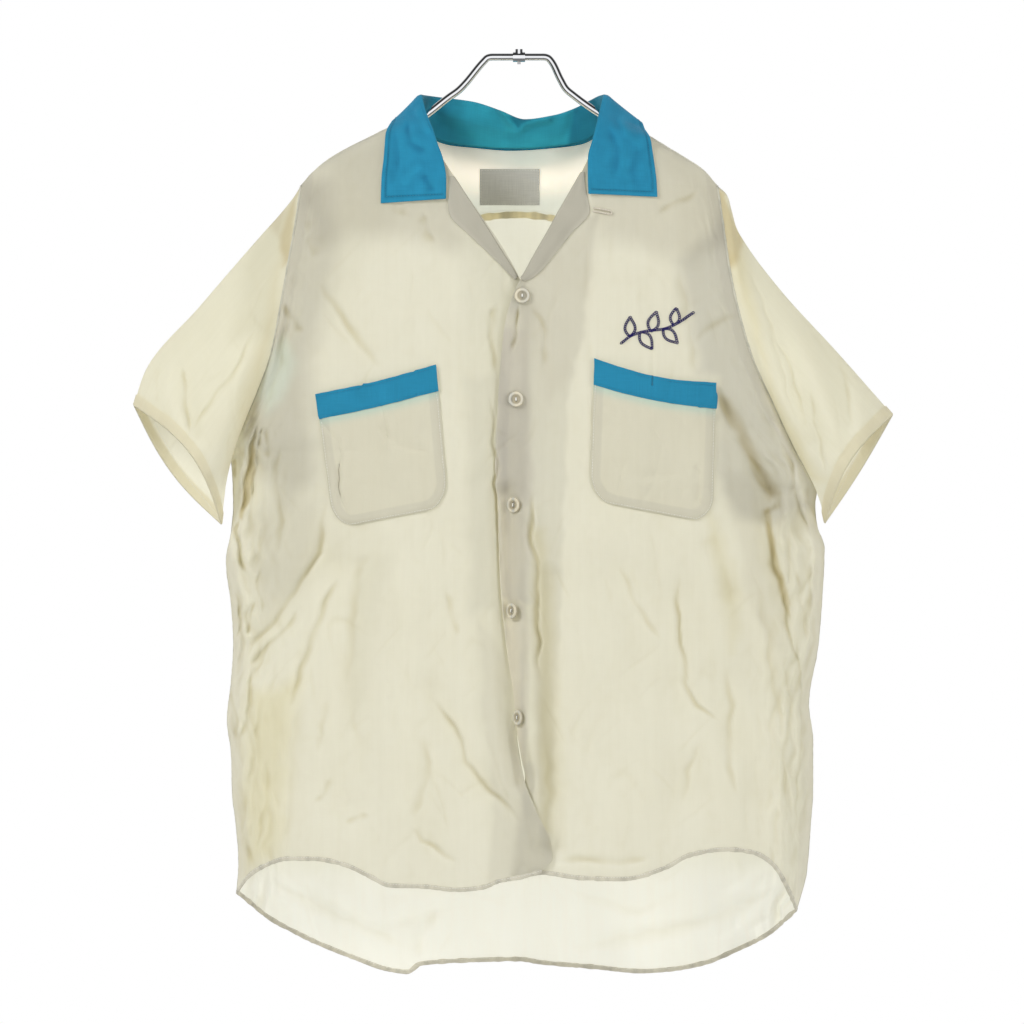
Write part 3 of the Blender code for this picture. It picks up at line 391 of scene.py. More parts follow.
# Collar round the neck, from the right front to the left: seam (x, z), fold and outer edge (x, y, z), roll
Round = namedtuple("Round", "seam fold edge roll")
COLLAR = (
    Round((-87.5, -68.5), (-83, -33, -70), (-128, -20, -75), 1.3),
    Round((-92.5, -58), (-89, -20, -55), (-124, -8, -65), 1.6),
    Round((-95, -52), (-94, 1, -36.5), (-120, 6, -61), 2.2),
    Round((-90, -63.5), (-87, 24, -37), (-109, 34, -70), 2.4),
    Round((-78, -78.2), (-72, 38, -38.5), (-83, 51, -86), 2.4),
    Round((-47, -84.2), (-45, 41, -42), (-48, 54, -98), 2.4),
    Round((-20, -86.4), (-19, 43, -50), (-20, 55, -104), 2.4),
    Round((5, -86.8), (6, 44, -59), (6, 56, -108), 2.4),
    Round((32, -84.8), (34, 43, -55), (36, 55, -104), 2.4),
    Round((54, -82), (55, 40, -48), (60, 52, -96), 2.4),
    Round((69, -76.6), (69, 32, -41), (84, 44, -82), 2.4),
    Round((78.8, -64.3), (78, 17, -37), (104, 26, -67), 2.4),
    Round((85.5, -50.5), (81.5, 0, -36.5), (117, 3, -63), 2.2),
    Round((83.5, -57), (77.5, -22, -53), (121, -7, -70), 1.6),
    Round((77, -67), (74, -35, -68), (126, -19, -79), 1.3),
)

# Facings turned out as lapels, from the collar down: roll line (x, z) and outer edge (x, z)
Strip = namedtuple("Strip", "inner outer")
LAPELS = {
    "right": (
        Strip((-63, -116), (-66.4, -116)),
        Strip((-56, -127), (-66.8, -128)),
        Strip((-47.5, -140.5), (-68, -142.5)),
        Strip((-40, -152), (-66, -153)),
        Strip((-28.5, -170), (-49, -171)),
        Strip((-16, -190), (-29, -190)),
        Strip((-7, -204), (-14, -205)),
        Strip((-2, -213), (-4, -215)),
    ),
    "left": (
        Strip((60, -112), (62.8, -112)),
        Strip((55, -121), (63.2, -121)),
        Strip((47.6, -134), (65.5, -135.5)),
        Strip((39, -149), (68, -148)),
        Strip((27.5, -170), (50, -171)),
        Strip((16, -190), (34, -191)),
        Strip((9, -203), (22, -206)),
        Strip((5, -210), (12, -214)),
        Strip((2, -214), (4, -217)),
    ),
}

# Pockets: corners (x, z), from the top corner nearest -X round to the lower one below it
Pocket = namedtuple("Pocket", "top_a top_b low_b low_a sag")
POCKETS = {
    "right": Pocket((-194, -324), (-79, -296), (-67, -432), (-177, -453), 2.0),
    "left": Pocket((72, -290), (188, -313), (185, -448), (67, -426), 6.0),
}
BAND_SHARE = 0.185
POCKET_CORNER = (24.0, 26.0)
MOUTH_LIFT = 2.0

# Buttons down the placket: x, z, turn of the face towards -X in degrees beyond the cloth's own
Button = namedtuple("Button", "x z turn")
BUTTONS = (
    Button(3, -230, 0),
    Button(-3, -329, 0),
    Button(-3, -430, 6),
    Button(-2, -531, 10),
    Button(2, -633, 14),
)
BUTTON_R = 7.6

# The loop at the left lapel's corner
LOOP_ROOT, LOOP_SLANT = (70.8, -146.2), -0.17
LOOP_LENGTH, LOOP_WIDTH, LOOP_WIRE_R = 17.5, 4.6, 0.7

# The hanger's tube from the top bar outwards: (out, z); the arms follow the shoulders
HANGER_LEFT = ((24, 0), (27.5, -0.8), (30.5, -3.6), (40, -22), (45, -30.5), (52, -36.5), (76, -53.5))
HANGER_RIGHT = ((-26, 0), (-30, -0.8), (-33.5, -4), (-52, -26), (-58, -32), (-67, -38.5), (-91, -57))
ARM_END = (163, 184)
TUBE_R, TUBE_DROP = 3.5, 5.8

LABEL_LEFT, LABEL_TOP = -38.0, -106.0
LABEL_SIZE, LABEL_EDGE = (58.0, 35.0), 1.2

# Painted shade on the fronts where the cloth lies double and along its creases, and painted light where more light
# comes through, with a bluish cast in a patch by the right armhole
FRONT_LIGHT_SHADE_ZONES = {
    "right": outlined(
        ((0.82, 0.81, 0.80), 17, (300, 180), (385, 125), (447, 160), (470, 243), (452, 250), (400, 238), (318, 244)),
        (LIGHT, 16, (330, 150), (400, 140), (392, 210), (350, 290), (330, 330)),
        (LIGHT, 12, (455, 235), (520, 250), (500, 480), (474, 480)),
        ((0.79, 0.785, 0.785), 15, (296, 182), (326, 186), (338, 240), (332, 290), (314, 352), (312, 400), (318, 440),
         (310, 486), (286, 500), (262, 470), (240, 430), (256, 380), (280, 300)),
        ((0.91, 0.905, 0.90), 12, (318, 500), (322, 530), (314, 560), (298, 590), (268, 616), (258, 570), (256, 520),
         (276, 496)),
        ((1.13, 1.14, 1.16), 5, (236, 430), (246, 436), (242, 480), (238, 522), (230, 560), (226, 520), (220, 480),
         (224, 445)),
        ((0.83, 0.77, 0.62), 1.5, (254, 437), (257, 446), (257, 468), (252, 487), (249, 505), (243, 522), (240, 520),
         (244, 495), (247, 472), (252, 452)),
        ((0.96, 0.96, 0.97), 16, (262, 372), (300, 350), (306, 400), (298, 440), (280, 456), (262, 436)),
        ((0.94, 0.94, 0.94), 24, (312, 440), (326, 500), (314, 560), (290, 600), (260, 620), (250, 560), (250, 440)),
        (LIGHT, 9, (470, 240), (483, 276), (491, 320), (489, 390), (492, 450), (472, 480), (474, 660), (482, 760),
         (490, 810), (490, 880), (560, 880), (530, 600), (525, 280)),
        ((0.935, 0.93, 0.93), 4, (478, 620), (491, 791), (495, 811), (491, 880), (552, 880), (550, 833), (524, 774),
         (508, 721), (504, 660)),
        ((0.95, 0.93, 0.83), 13, (252, 690), (300, 684), (288, 742), (284, 800), (281, 856), (246, 872), (244, 800)),
        (LIGHT, 10, (345, 690), (362, 560), (392, 560), (372, 640), (366, 700), (352, 720)),
        ((0.93, 0.93, 0.93), 9, (466, 380), (490, 380), (492, 610), (470, 610)),
        ((1.05, 1.15, 1.18), 9, (258, 398), (264, 368), (284, 338), (298, 366), (284, 400), (266, 412)),
    ),
    "left": outlined(
        ((0.85, 0.84, 0.83), 16, (582, 170), (655, 130), (725, 185), (728, 240), (690, 262), (640, 245), (604, 240),
         (580, 190)),
        ((0.94, 0.93, 0.925), 9, (525, 285), (600, 212), (590, 290), (582, 340), (574, 375), (548, 405), (530, 330)),
        (LIGHT, 9, (772, 520), (800, 520), (802, 860), (784, 860)),
        (DENSE_SHADE, 10, (690, 250), (732, 200), (742, 260), (770, 400), (820, 480), (830, 510), (775, 524), (738, 516),
         (722, 490), (714, 450), (716, 380), (697, 372), (684, 315), (677, 262)),
        ((0.94, 0.935, 0.93), 6, (722, 470), (740, 545), (746, 600), (770, 650), (792, 650), (784, 590), (774, 540),
         (820, 530), (790, 480)),
        (MEDIUM_SHADE, 3.5, (600, 214), (593, 252), (588, 290), (582, 338), (576, 375), (566, 405), (562, 560), (557, 690),
         (556, 725), (552, 800), (548, 880), (480, 880), (480, 240), (540, 240)),
        ((0.945, 0.935, 0.945), 4, (500, 330), (528, 330), (531, 480), (529, 560), (529, 700), (524, 780), (480, 780),
         (490, 400)),
        ((0.96, 0.955, 0.96), 22, (490, 300), (545, 300), (535, 500), (490, 500)),
        ((0.95, 0.925, 0.83), 8, (534, 530), (546, 530), (556, 700), (551, 830), (540, 830), (537, 690)),
        ((1.13, 1.13, 1.12), 5, (488, 400), (498, 410), (503, 480), (506, 560), (506, 630), (496, 630), (490, 520)),
        ((1.08, 1.08, 1.06), 4, (524, 600), (534, 600), (535, 760), (527, 760)),
        ((1.27, 1.27, 1.26), 6, (502, 600), (521, 600), (523, 680), (521, 760), (508, 740), (503, 670)),
        ((1.12, 1.12, 1.12), 6, (498, 500), (522, 500), (522, 600), (501, 600)),
        ((1.10, 1.10, 1.10), 7, (500, 310), (526, 310), (524, 400), (502, 400)),
        ((0.85, 0.81, 0.72), 5, (720, 400), (730, 405), (748, 436), (762, 468), (776, 492), (768, 498), (754, 476),
         (740, 446), (726, 418)),
        ((0.86, 0.81, 0.68), 2, (762, 508), (767, 505), (774, 535), (786, 590), (789, 620), (781, 596), (770, 550)),
        ((1.12, 1.12, 1.13), 5, (772, 395), (782, 400), (800, 450), (822, 490), (830, 520), (808, 520), (790, 470),
         (776, 430)),
        ((0.96, 0.945, 0.88), 9, (704, 510), (718, 520), (738, 600), (731, 650), (713, 560)),
    ),
}


size = partial(bpy.props.FloatProperty, unit="LENGTH")
shade = partial(bpy.props.FloatVectorProperty, subtype="COLOR", size=3, min=0, max=1)
level = bpy.props.FloatProperty


class ClothSizes(bpy.types.PropertyGroup):
    """Sizes of the cloth and its sewing"""

    weave: size(name="Weave", description="Distance between two threads of the cloth", default=0.0007)
    stitch: size(name="Stitch", description="Distance from one stitch to the next", default=0.0027)
    thread: size(name="Thread", description="Thickness of the sewing thread", default=0.00045)
    hem: size(name="Hem", description="Width of the rolled hem of the fronts and back", default=0.0043)
    sleeve_hem: size(name="Sleeve hem", description="Width of the sleeves' turned hem", default=0.0115)
    collar: size(name="Collar", description="Thickness of the lined collar", default=0.0013)
    facing: size(name="Facing", description="Thickness of the facings and pockets", default=0.0009)


class ShirtColours(bpy.types.PropertyGroup):
    """Colours of the finishes"""

    cream: shade(name="Cream", description="Colour of the body cloth", default=(0.885, 0.875, 0.77))
    glow: shade(name="Glow", description="Colour of light through the body cloth", default=(1.0, 0.99, 0.94))
    teal: shade(name="Teal", description="Colour of the collar and pocket bands", default=(0.022, 0.25, 0.42))
    navy: shade(name="Navy", description="Colour of the chain stitching", default=(0.012, 0.009, 0.10))
    pearl: shade(name="Pearl", description="Colour of the buttons", default=(0.54, 0.505, 0.40))
    label: shade(name="Label", description="Colour of the woven label", default=(0.60, 0.60, 0.56))
    chrome: shade(name="Chrome", description="Colour of the hanger's plating", default=(0.82, 0.83, 0.85))
    floor: shade(name="Floor", description="Colour of the stage's floor", default=(0.80, 0.80, 0.79))


class StageSizes(bpy.types.PropertyGroup):
    """Light, floor and camera"""

    view: size(name="View", description="Width of what the camera sees at the shirt", default=0.98304)
    away: size(name="Camera distance", description="From the camera to the hanger's plane", default=12)
    centre: bpy.props.FloatVectorProperty(name="Centre", description="What the camera points at, across and up",
                                          size=2, default=(-0.00672, -0.4368), unit="LENGTH")
    front_light: level(name="Front light", description="Soft light from all round the front", default=0.52)
    side_light: level(name="Side light", description="Light from the sides, above and below", default=0.32)
    back_light: level(name="Back light", description="Soft light from all round the back", default=1.25)
    key: level(name="Key light", description="Power of the large soft light", default=125, unit="POWER")
    floor: size(name="Floor", description="Height of the floor", default=-1.15)


def xyz(*columns):
    """Points from their columns."""
    return np.stack(np.broadcast_arrays(*columns), axis=-1)


def xz(grid):
    """A grid's x and z."""
    return grid[..., 0], grid[..., 2]


def unit(vectors):
    """The vectors, each of length 1."""
    return vectors / np.linalg.norm(vectors, axis=-1, keepdims=True)


def turns(count):
    """Even angles round a circle."""
    return np.linspace(0, math.tau, count, endpoint=False)


def toned(tint, share):
    """A tint that is full where share is 1, and none where it is 0."""
    return 1 + (np.array(tint) - 1) * np.asarray(share)[..., None]


def pchip(xs, ys, at):
    """Smooth curve through (xs, ys) that never overshoots a row of its table."""
    xs, ys, at = np.asarray(xs, float), np.asarray(ys, float), np.asarray(at, float)
    step = np.diff(xs)
    rise = np.diff(ys) / step
    slope = np.zeros_like(ys)
    same = rise[1:] * rise[:-1] > 0
    before, after = 2 * step[1:] + step[:-1], step[1:] + 2 * step[:-1]
    down = before * rise[1:] + after * rise[:-1]
    product = (before + after) * rise[:-1] * rise[1:]
    slope[1:-1] = np.where(same, product / np.where(same, down, 1), 0)
    slope[0], slope[-1] = rise[0], rise[-1]
    k = np.clip(np.searchsorted(xs, at, side="right") - 1, 0, len(xs) - 2)
    t = np.clip((at - xs[k]) / step[k], 0, 1)
    near = ys[k] * (1 + 2 * t) * (1 - t) ** 2 + slope[k] * step[k] * t * (1 - t) ** 2
    far = ys[k + 1] * t**2 * (3 - 2 * t) - slope[k + 1] * step[k] * t**2 * (1 - t)
    return near + far


def lengths(points):
    """Length of the line through the points up to each of them."""
    return np.concatenate([[0], np.cumsum(np.linalg.norm(np.diff(points, axis=0), axis=1))])


def curves(xs, rows, at):
    """Smooth curves through rows of numbers, one for each number of a row."""
    columns = np.reshape(rows, (len(rows), -1)).T
    return xyz(*(pchip(xs, column, at) for column in columns)).reshape(len(at), *np.shape(rows)[1:])


def along(points, share):
    """Points at these shares of the length of a smooth curve through points."""
    length = lengths(points)
    return curves(length, points, np.asarray(share, float) * length[-1])


def coons(top, bottom, start, end):
    """Grid of points inside four boundary rows: top and bottom run across, start and end run down."""
    down, across = len(start), len(top)
    v = shares(down)[:, None, None]
    s = shares(across)[None, :, None]
    top, bottom = top[None, :, :], bottom[None, :, :]
    start, end = start[:, None, :], end[:, None, :]
    start_line = (1 - v) * top[:, :1] + v * bottom[:, :1]
    end_line = (1 - v) * top[:, -1:] + v * bottom[:, -1:]
    return (1 - v) * top + v * bottom + (1 - s) * (start - start_line) + s * (end - end_line)


def smooth_step(low, high, at):
    t = np.clip((at - low) / (high - low), 0, 1)
    return t * t * (3 - 2 * t)


def nearest_on(points, x, z):
    """Distance from (x, z) to the line through points, the share of its length up to there, and the side."""
    reach = lengths(np.asarray(points, float))
    nearest = np.full(np.broadcast(x, z).shape, np.inf)
    share, side = np.zeros_like(nearest), np.zeros_like(nearest)
    for (ax, az), (bx, bz), start, run in zip(points, points[1:], reach, np.diff(reach)):
        dx, dz = bx - ax, bz - az
        t = np.clip(((x - ax) * dx + (z - az) * dz) / max(run * run, 1e-9), 0, 1)
        away = np.hypot(x - ax - t * dx, z - az - t * dz)
        share = np.where(away < nearest, start + t * run, share)
        side = np.where(away < nearest, dx * (z - az) - dz * (x - ax), side)
        nearest = np.minimum(nearest, away)
    return nearest, share / reach[-1], side > 0


def distance_to(points, x, z):
    """Distance from (x, z) to the line through points."""
    return nearest_on(points, x, z)[0]


def folds(table, x, z):
    """Sum of the table's ridges and troughs at (x, z)."""
    total = np.zeros(np.broadcast(x, z).shape)
    for fold in table:
        total += fold.height * np.exp(-((distance_to(fold.points, x, z) / fold.width) ** 2))
    return total


CREASE_WANDER, WANDER_SIZE = 2.4, 19.0
CREASE_ENDS = 0.24
CREASE_REACH = 3.0
CREASE_SIDES = (0.6, 1.15)


def creases(table, x, z, seed):
    """Sum of the table's small folds, which wander, swell and die away towards both ends."""
    x, z = np.broadcast_arrays(np.asarray(x, float), np.asarray(z, float))
    x, z = (x + CREASE_WANDER * noise(x, z, WANDER_SIZE, seed),
            z + CREASE_WANDER * noise(x, z, WANDER_SIZE, seed + 1))
    total = np.zeros(x.shape)
    for number, fold in enumerate(table):
        (x_low, z_low), (x_high, z_high) = np.min(fold.points, axis=0), np.max(fold.points, axis=0)
        reach = CREASE_REACH * fold.width
        near = (x > x_low - reach) & (x < x_high + reach) & (z > z_low - reach) & (z < z_high + reach)
        if not near.any():
            continue
        away, share, over = nearest_on(fold.points, x[near], z[near])
        fade = smooth_step(0, CREASE_ENDS, share) * smooth_step(1, 1 - CREASE_ENDS, share)
        swell = 1 + 0.3 * np.sin(11 * share + 2.1 * number)
        width = fold.width * (0.8 + 0.35 * fade) * np.where(over ^ bool(number % 2), *CREASE_SIDES)
        total[near] += fold.height * fade * swell * np.exp(-((away / width) ** 2))
    return total


def inside(outline, x, z):
    """Whether (x, z) is inside the closed outline."""
    found = np.zeros(np.broadcast(x, z).shape, bool)
    for (ax, az), (bx, bz) in zip(outline, outline[1:] + outline[:1]):
        if az == bz:
            continue
        crosses = (az > z) != (bz > z)
        found ^= crosses & (x < ax + (bx - ax) * (z - az) / (bz - az))
    return found


def zone_share(zone, x, z):
    """1 inside a zone and 0 outside it, with a soft edge."""
    away = distance_to(zone.outline + zone.outline[:1], x, z)
    signed = np.where(inside(zone.outline, x, z), away, -away)
    return smooth_step(-zone.soft, zone.soft, signed)


NOISE_CELLS = 64
CREASE_DEPTH = 1.7
FRONT_SEED, BACK_SEED = 11, 31


def noise(x, z, size, seed):
    """Smooth noise, about -1 to 1, with bumps of this size."""
    angles = np.random.default_rng(seed).uniform(0, math.tau, (NOISE_CELLS, NOISE_CELLS))
    u, v = x / size, z / size
    i, j = np.floor(u).astype(int), np.floor(v).astype(int)
    fu, fv = u - i, v - j
    total = np.zeros(np.broadcast(x, z).shape)
    for di in (0, 1):
        for dj in (0, 1):
            angle = angles[(i + di) % NOISE_CELLS, (j + dj) % NOISE_CELLS]
            slope = np.cos(angle) * (fu - di) + np.sin(angle) * (fv - dj)
            near = (1 - np.abs(fu - di)) ** 2 * (1 + 2 * np.abs(fu - di))
            total += slope * near * (1 - np.abs(fv - dj)) ** 2 * (1 + 2 * np.abs(fv - dj))
    return total * 1.6


def half_at(x, of_left, of_right):
    return np.where(x >= 0, of_left, of_right)


def side_out(half, z):
    """How far out the half's armhole or side seam is at this height."""
    rows = np.array(half.armhole + half.side[1:], float)[::-1]
    return pchip(rows[:, 1], rows[:, 0], z)


def to_side(x, z):
    """Distance across from (x, z) out to the armhole or side seam."""
    return half_at(x, side_out(LEFT, z), side_out(RIGHT, z)) - np.abs(x)


def shoulder_z(half, out):
    """Height of the shoulder line, which runs straight on beyond its ends."""
    outs, heights = np.array(half.shoulder, float).T
    slopes = np.diff(heights) / np.diff(outs)
    beyond = slopes[0] * np.minimum(out - outs[0], 0) + slopes[-1] * np.maximum(out - outs[-1], 0)
    return pchip(outs, heights, np.clip(out, outs[0], outs[-1])) + beyond


def armhole_depth(half, z):
    """1 at the middle of the armhole and 0 at its top, at the underarm and below it."""
    top, under = half.armhole[0][1], half.armhole[-1][1]
    share = np.clip((top - z) / (top - under), 0, 1)
    return np.maximum(np.sin(math.pi * share), 0) ** 0.8


def depth(x, z, behind):
    """Half depth of the body at (x, z), in front or behind, without its folds."""
    left, right = side_out(LEFT, z), side_out(RIGHT, z)
    middle, width = (left - right) / 2, (left + right) / 2
    u = np.clip(np.abs((x - middle) / width), 0, 1)
    lens = (1 - u ** SIDE_POWERS[0]) ** SIDE_POWERS[1]
    heights = [row.z for row in SECTIONS][::-1]
    depths = [row.back if behind else row.front for row in SECTIONS][::-1]
    full = pchip(heights, depths, z)
    side = ARMHOLE_DEPTH[behind] * half_at(x, armhole_depth(LEFT, z), armhole_depth(RIGHT, z))
    line = half_at(x, shoulder_z(LEFT, np.abs(x)), shoulder_z(RIGHT, np.abs(x)))
    drop = np.clip((line - z) / SHOULDER_ROUND, 0, 1)
    rounding = np.sqrt(1 - (1 - drop) ** 2)
    return rounding * (side + (full - side) * lens), rounding


def placket_shift(half, x, z):
    """Forward shift that keeps the two fronts apart where they lap."""
    over = 1 - 2 * smooth_step(CROSS_TOP, CROSS_END, z)
    within = 1 - smooth_step(PLACKET_WIDTH, PLACKET_WIDTH + PLACKET_FADE, half.sign * x)
    return half.sign * over * within * PLACKET_LIFT


def side_fade(x, z, reach=FOLD_FADE):
    """Folds die away at the side seams and armholes, where the next piece is sewn on."""
    return smooth_step(0, reach, to_side(x, z))


# Thin creases: size of the pattern, slant, stretch along z, width of the line as a share of the pattern
LINE_SETS = ((52, 0.5, 0.45, 0.07), (44, -0.6, 0.5, 0.075), (36, 0.15, 0.3, 0.085))
LINE_DEPTH = 0.75


def crumple(x, z, seed):
    """Small uneven wrinkles: long soft ones, and sharper ones that run down the sides and armholes."""
    edge = to_side(x, z)
    low = smooth_step(-300, -400, z)
    at_side = (1 - smooth_step(8, 34 + 34 * low, edge)) * (0.35 + 0.65 * low)
    soft = 2.6 * noise(x, z * 0.4, 62, seed) + 1.1 * noise(x + 0.2 * z, z * 0.5, 27, seed + 1)
    bend = 7 * noise(x * 0.4, z, 46, seed + 4) + 2.5 * noise(x, z, 15, seed + 6)
    sharp = 0.5 - np.abs(noise(edge + bend, z * 0.17, 14, seed + 2))
    small = 0.4 - np.abs(noise(edge + bend, z * 0.24, 7.5, seed + 5))
    fine = 0.2 * noise(x + 0.5 * bend, z * 0.7, 7, seed + 3)
    return soft + at_side * (6.5 * sharp + 2.6 * small) + (1 + at_side) * fine - thin_lines(x, z, seed)


def thin_lines(x, z, seed):
    """Thin creases left by folding and wear, in patches."""
    total = np.zeros(np.broadcast(x, z).shape)
    for number, (size, slant, stretch, width) in enumerate(LINE_SETS):
        across = noise(x + slant * z, z * stretch, size, seed + 20 + number)
        patch = np.clip(1.6 * noise(x, z, 48, seed + 30 + number) - 0.1, 0, 1)
        total += patch * np.exp(-((across / width) ** 2))
    return LINE_DEPTH * total


def blurred(values, passes):
    """A grid of values, each evened out with its neighbours several times."""
    for _ in range(passes):
        wide = np.pad(values, 1, mode="edge")
        values = (wide[:-2, 1:-1] + wide[2:, 1:-1] + wide[1:-1, :-2] + wide[1:-1, 2:] + 4 * values) / 8
    return values


# Painted shade in troughs and painted light on ridges
TROUGH_SHADE, RIDGE_PAINTED_LIGHT = np.array([0.10, 0.12, 0.19]), np.array([0.03, 0.03, 0.015])


def relief_shade(heights, full=1.3, passes=36, deepest=1.2):
    """Painted shade and light of cloth of these heights: light comes darker and warmer through its troughs, and a
    little paler over its ridges.
    """
    dip = (blurred(heights, passes) - heights) / full
    return (1 - np.clip(dip, 0, deepest)[..., None] * TROUGH_SHADE
            + np.clip(-dip, 0, 1)[..., None] * RIDGE_PAINTED_LIGHT)


def front_creases(x, z):
    return creases(FRONT_CREASES, x, z, 81)


def back_creases(x, z):
    return creases(BACK_CREASES, x, z, 83)


def front_small(half, x, z):
    """The front's creases and wrinkles. They stay clear of the buttons."""
    small = CREASE_DEPTH * front_creases(x, z) + crumple(x, z, FRONT_SEED)
    if half is LEFT:
        for button in BUTTONS:
            away = np.hypot(x - button.x, z - button.z)
            small = small * smooth_step(BUTTON_R * 0.8, BUTTON_R * 2.6, away)
    return small * side_fade(x, z, 8)


def front_form(half, x, z):
    """The front's depth without folds, its rounding to the shoulder, and its folds with the placket's shift."""
    out, rounding = depth(x, z, False)
    wave = folds(FRONT_FOLDS, x, z)
    tilt = folds(FRONT_FOLDS, x + 1, z) - wave
    return out, rounding, wave * side_fade(x, z) + placket_shift(half, x, z) * np.hypot(1, tilt)


def front_y(half, x, z):
    out, rounding, form = front_form(half, x, z)
    return -SEAM_HALF - out - rounding * (form + front_small(half, x, z))


def back_small(x, z):
    """The back's creases and wrinkles. They stay clear of the side pleats."""
    small = CREASE_DEPTH * back_creases(x, z) + crumple(x, z, BACK_SEED)
    edge = to_side(x, z) + np.abs(x)
    at_pleat = np.exp(-(((np.abs(x) - edge * PLEAT_OUT) / PLEAT_CALM) ** 2)) * smooth_step(-760, -640, z)
    return small * side_fade(x, z, 8) * (1 - at_pleat)


def back_y(x, z):
    out, rounding = depth(x, z, True)
    return SEAM_HALF + out + rounding * (folds(BACK_FOLDS, x, z) * side_fade(x, z) + back_small(x, z))


def lifted(surface, points, lift, outward):
    """Points (x, z) laid on a surface y = f(x, z), and moved out along its normal by lift."""
    x, z = np.moveaxis(np.asarray(points, float), -1, 0)
    slope_x = (surface(x + 1, z) - surface(x - 1, z)) / 2
    slope_z = (surface(x, z + 1) - surface(x, z - 1)) / 2
    return xyz(x, surface(x, z), z) - outward * unit(xyz(slope_x, -1, slope_z)) * np.asarray(lift)[..., None]


def laid_on(surface, points):
    """Points (x, z) laid on a surface y = f(x, z)."""
    return xyz(points[..., 0], surface(points[..., 0], points[..., 1]), points[..., 1])


def on_front(half, points, lift):
    """Points (x, z) laid on a half's front, moved out by lift."""
    return lifted(partial(front_y, half), points, lift, -1)


def on_back(points, lift):
    """Points (x, z) laid on the yoke or back, moved out by lift, or in when it is under 0."""
    return lifted(back_y, points, lift, 1)


def line_on_front(half, row, lift):
    """A line of stitches on a half's front: its path, and the way out of the cloth."""
    path = on_front(half, row, lift)
    return path, on_front(half, row, lift + 1) - path


def flip(half, points):
    """A half's own (out, z) points as (x, z)."""
    return np.asarray(points, float) * (half.sign, 1)


def shares(count, near=0.0):
    """Even shares from 0 to 1, with a few close ones at both ends when near is over 0."""
    if not near:
        return np.linspace(0, 1, count)
    close = near * np.array([0, 0.15, 0.4, 0.7])
    return np.concatenate([close, np.linspace(near, 1 - near, count), 1 - close[::-1]])


# Meshes


def normals_of(grid, closed=False):
    """Unit normals of a grid of points, -Y where the grid runs from -X to +X and down."""
    across = np.roll(grid, -1, 1) - np.roll(grid, 1, 1) if closed else np.gradient(grid, axis=1)
    normal = np.cross(np.gradient(grid, axis=0), across)
    return normal / np.maximum(np.linalg.norm(normal, axis=-1, keepdims=True), 1e-9)


def grid_faces(rows, columns, closed=False):
    index = np.arange(rows * columns).reshape(rows, columns)
    if closed:
        index = np.hstack([index, index[:, :1]])
    return xyz(index[:-1, :-1], index[1:, :-1], index[1:, 1:], index[:-1, 1:]).reshape(-1, 4)


def set_tint(mesh, tint):
    colours = mesh.attributes.new("tint", "FLOAT_COLOR", "POINT")
    colours.data.foreach_set("color", np.pad(tint, ((0, 0), (0, 1)), constant_values=1).astype(np.float32).ravel())


def points_of(mesh):
    """A mesh's points in mm."""
    found = np.empty(len(mesh.vertices) * 3, np.float32)
    mesh.vertices.foreach_get("co", found)
    return found.reshape(-1, 3) / MM


def mesh_of(name, points, faces, uv=None, tint=None):
    """Smooth mesh from points in mm, with its weave coordinates in metres and its tint."""
    mesh = bpy.data.meshes.new(name)
    faces = faces.tolist() if isinstance(faces, np.ndarray) else faces
    mesh.from_pydata((np.asarray(points) * MM).tolist(), [], faces)
    mesh.shade_smooth()
    if uv is not None:
        corner = np.empty(len(mesh.loops), np.int64)
        mesh.loops.foreach_get("vertex_index", corner)
        mesh.uv_layers.new(name="weave").uv.foreach_set("vector", (uv * MM)[corner].astype(np.float32).ravel())
    if tint is not None:
        set_tint(mesh, tint)
    return mesh


def piece(mesh, finish, parent=None, *replaced):
    """A shown piece, named as its mesh: it rides on the one body, or on the cloth that it is sewn to."""
    obj = bpy.data.objects.new(mesh.name, mesh)
    bpy.context.scene.collection.objects.link(obj)
    mesh.materials.append(finishes()[finish])
    if parent is None:
        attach(obj, "root")
    else:
        obj.parent = parent
    if replaced:
        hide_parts(*replaced)
    return obj


def sewn(name, lines, parent, finish="cream_thread", thinner=1.0):
    """Stitches along lines of (path, up) on the cloth that they hold."""
    cloth = bpy.context.scene.shirt_cloth
    mesh = stitch_mesh(f"{name}_stitches", lines, cloth.stitch / MM, cloth.thread / MM * thinner)
    return piece(mesh, finish, parent)


def arc_uv(grid):
    """Weave coordinates from the lengths of a grid's middle row and middle column."""
    return xyz(*np.meshgrid(lengths(grid[len(grid) // 2]), lengths(grid[:, grid.shape[1] // 2])))


def sheet_mesh(name, grid, tint, uv=None, closed=False):
    """One thin layer of cloth. Its weave runs across and up, unless uv says more."""
    uv = grid[..., [0, 2]] if uv is None else uv
    faces = grid_faces(*grid.shape[:2], closed)
    return mesh_of(name, grid.reshape(-1, 3), faces, uv.reshape(-1, 2), tint.reshape(-1, 3))


def widths(grid):
    """Length along each row of a grid, up to each of its points."""
    return np.array([lengths(row) for row in grid])


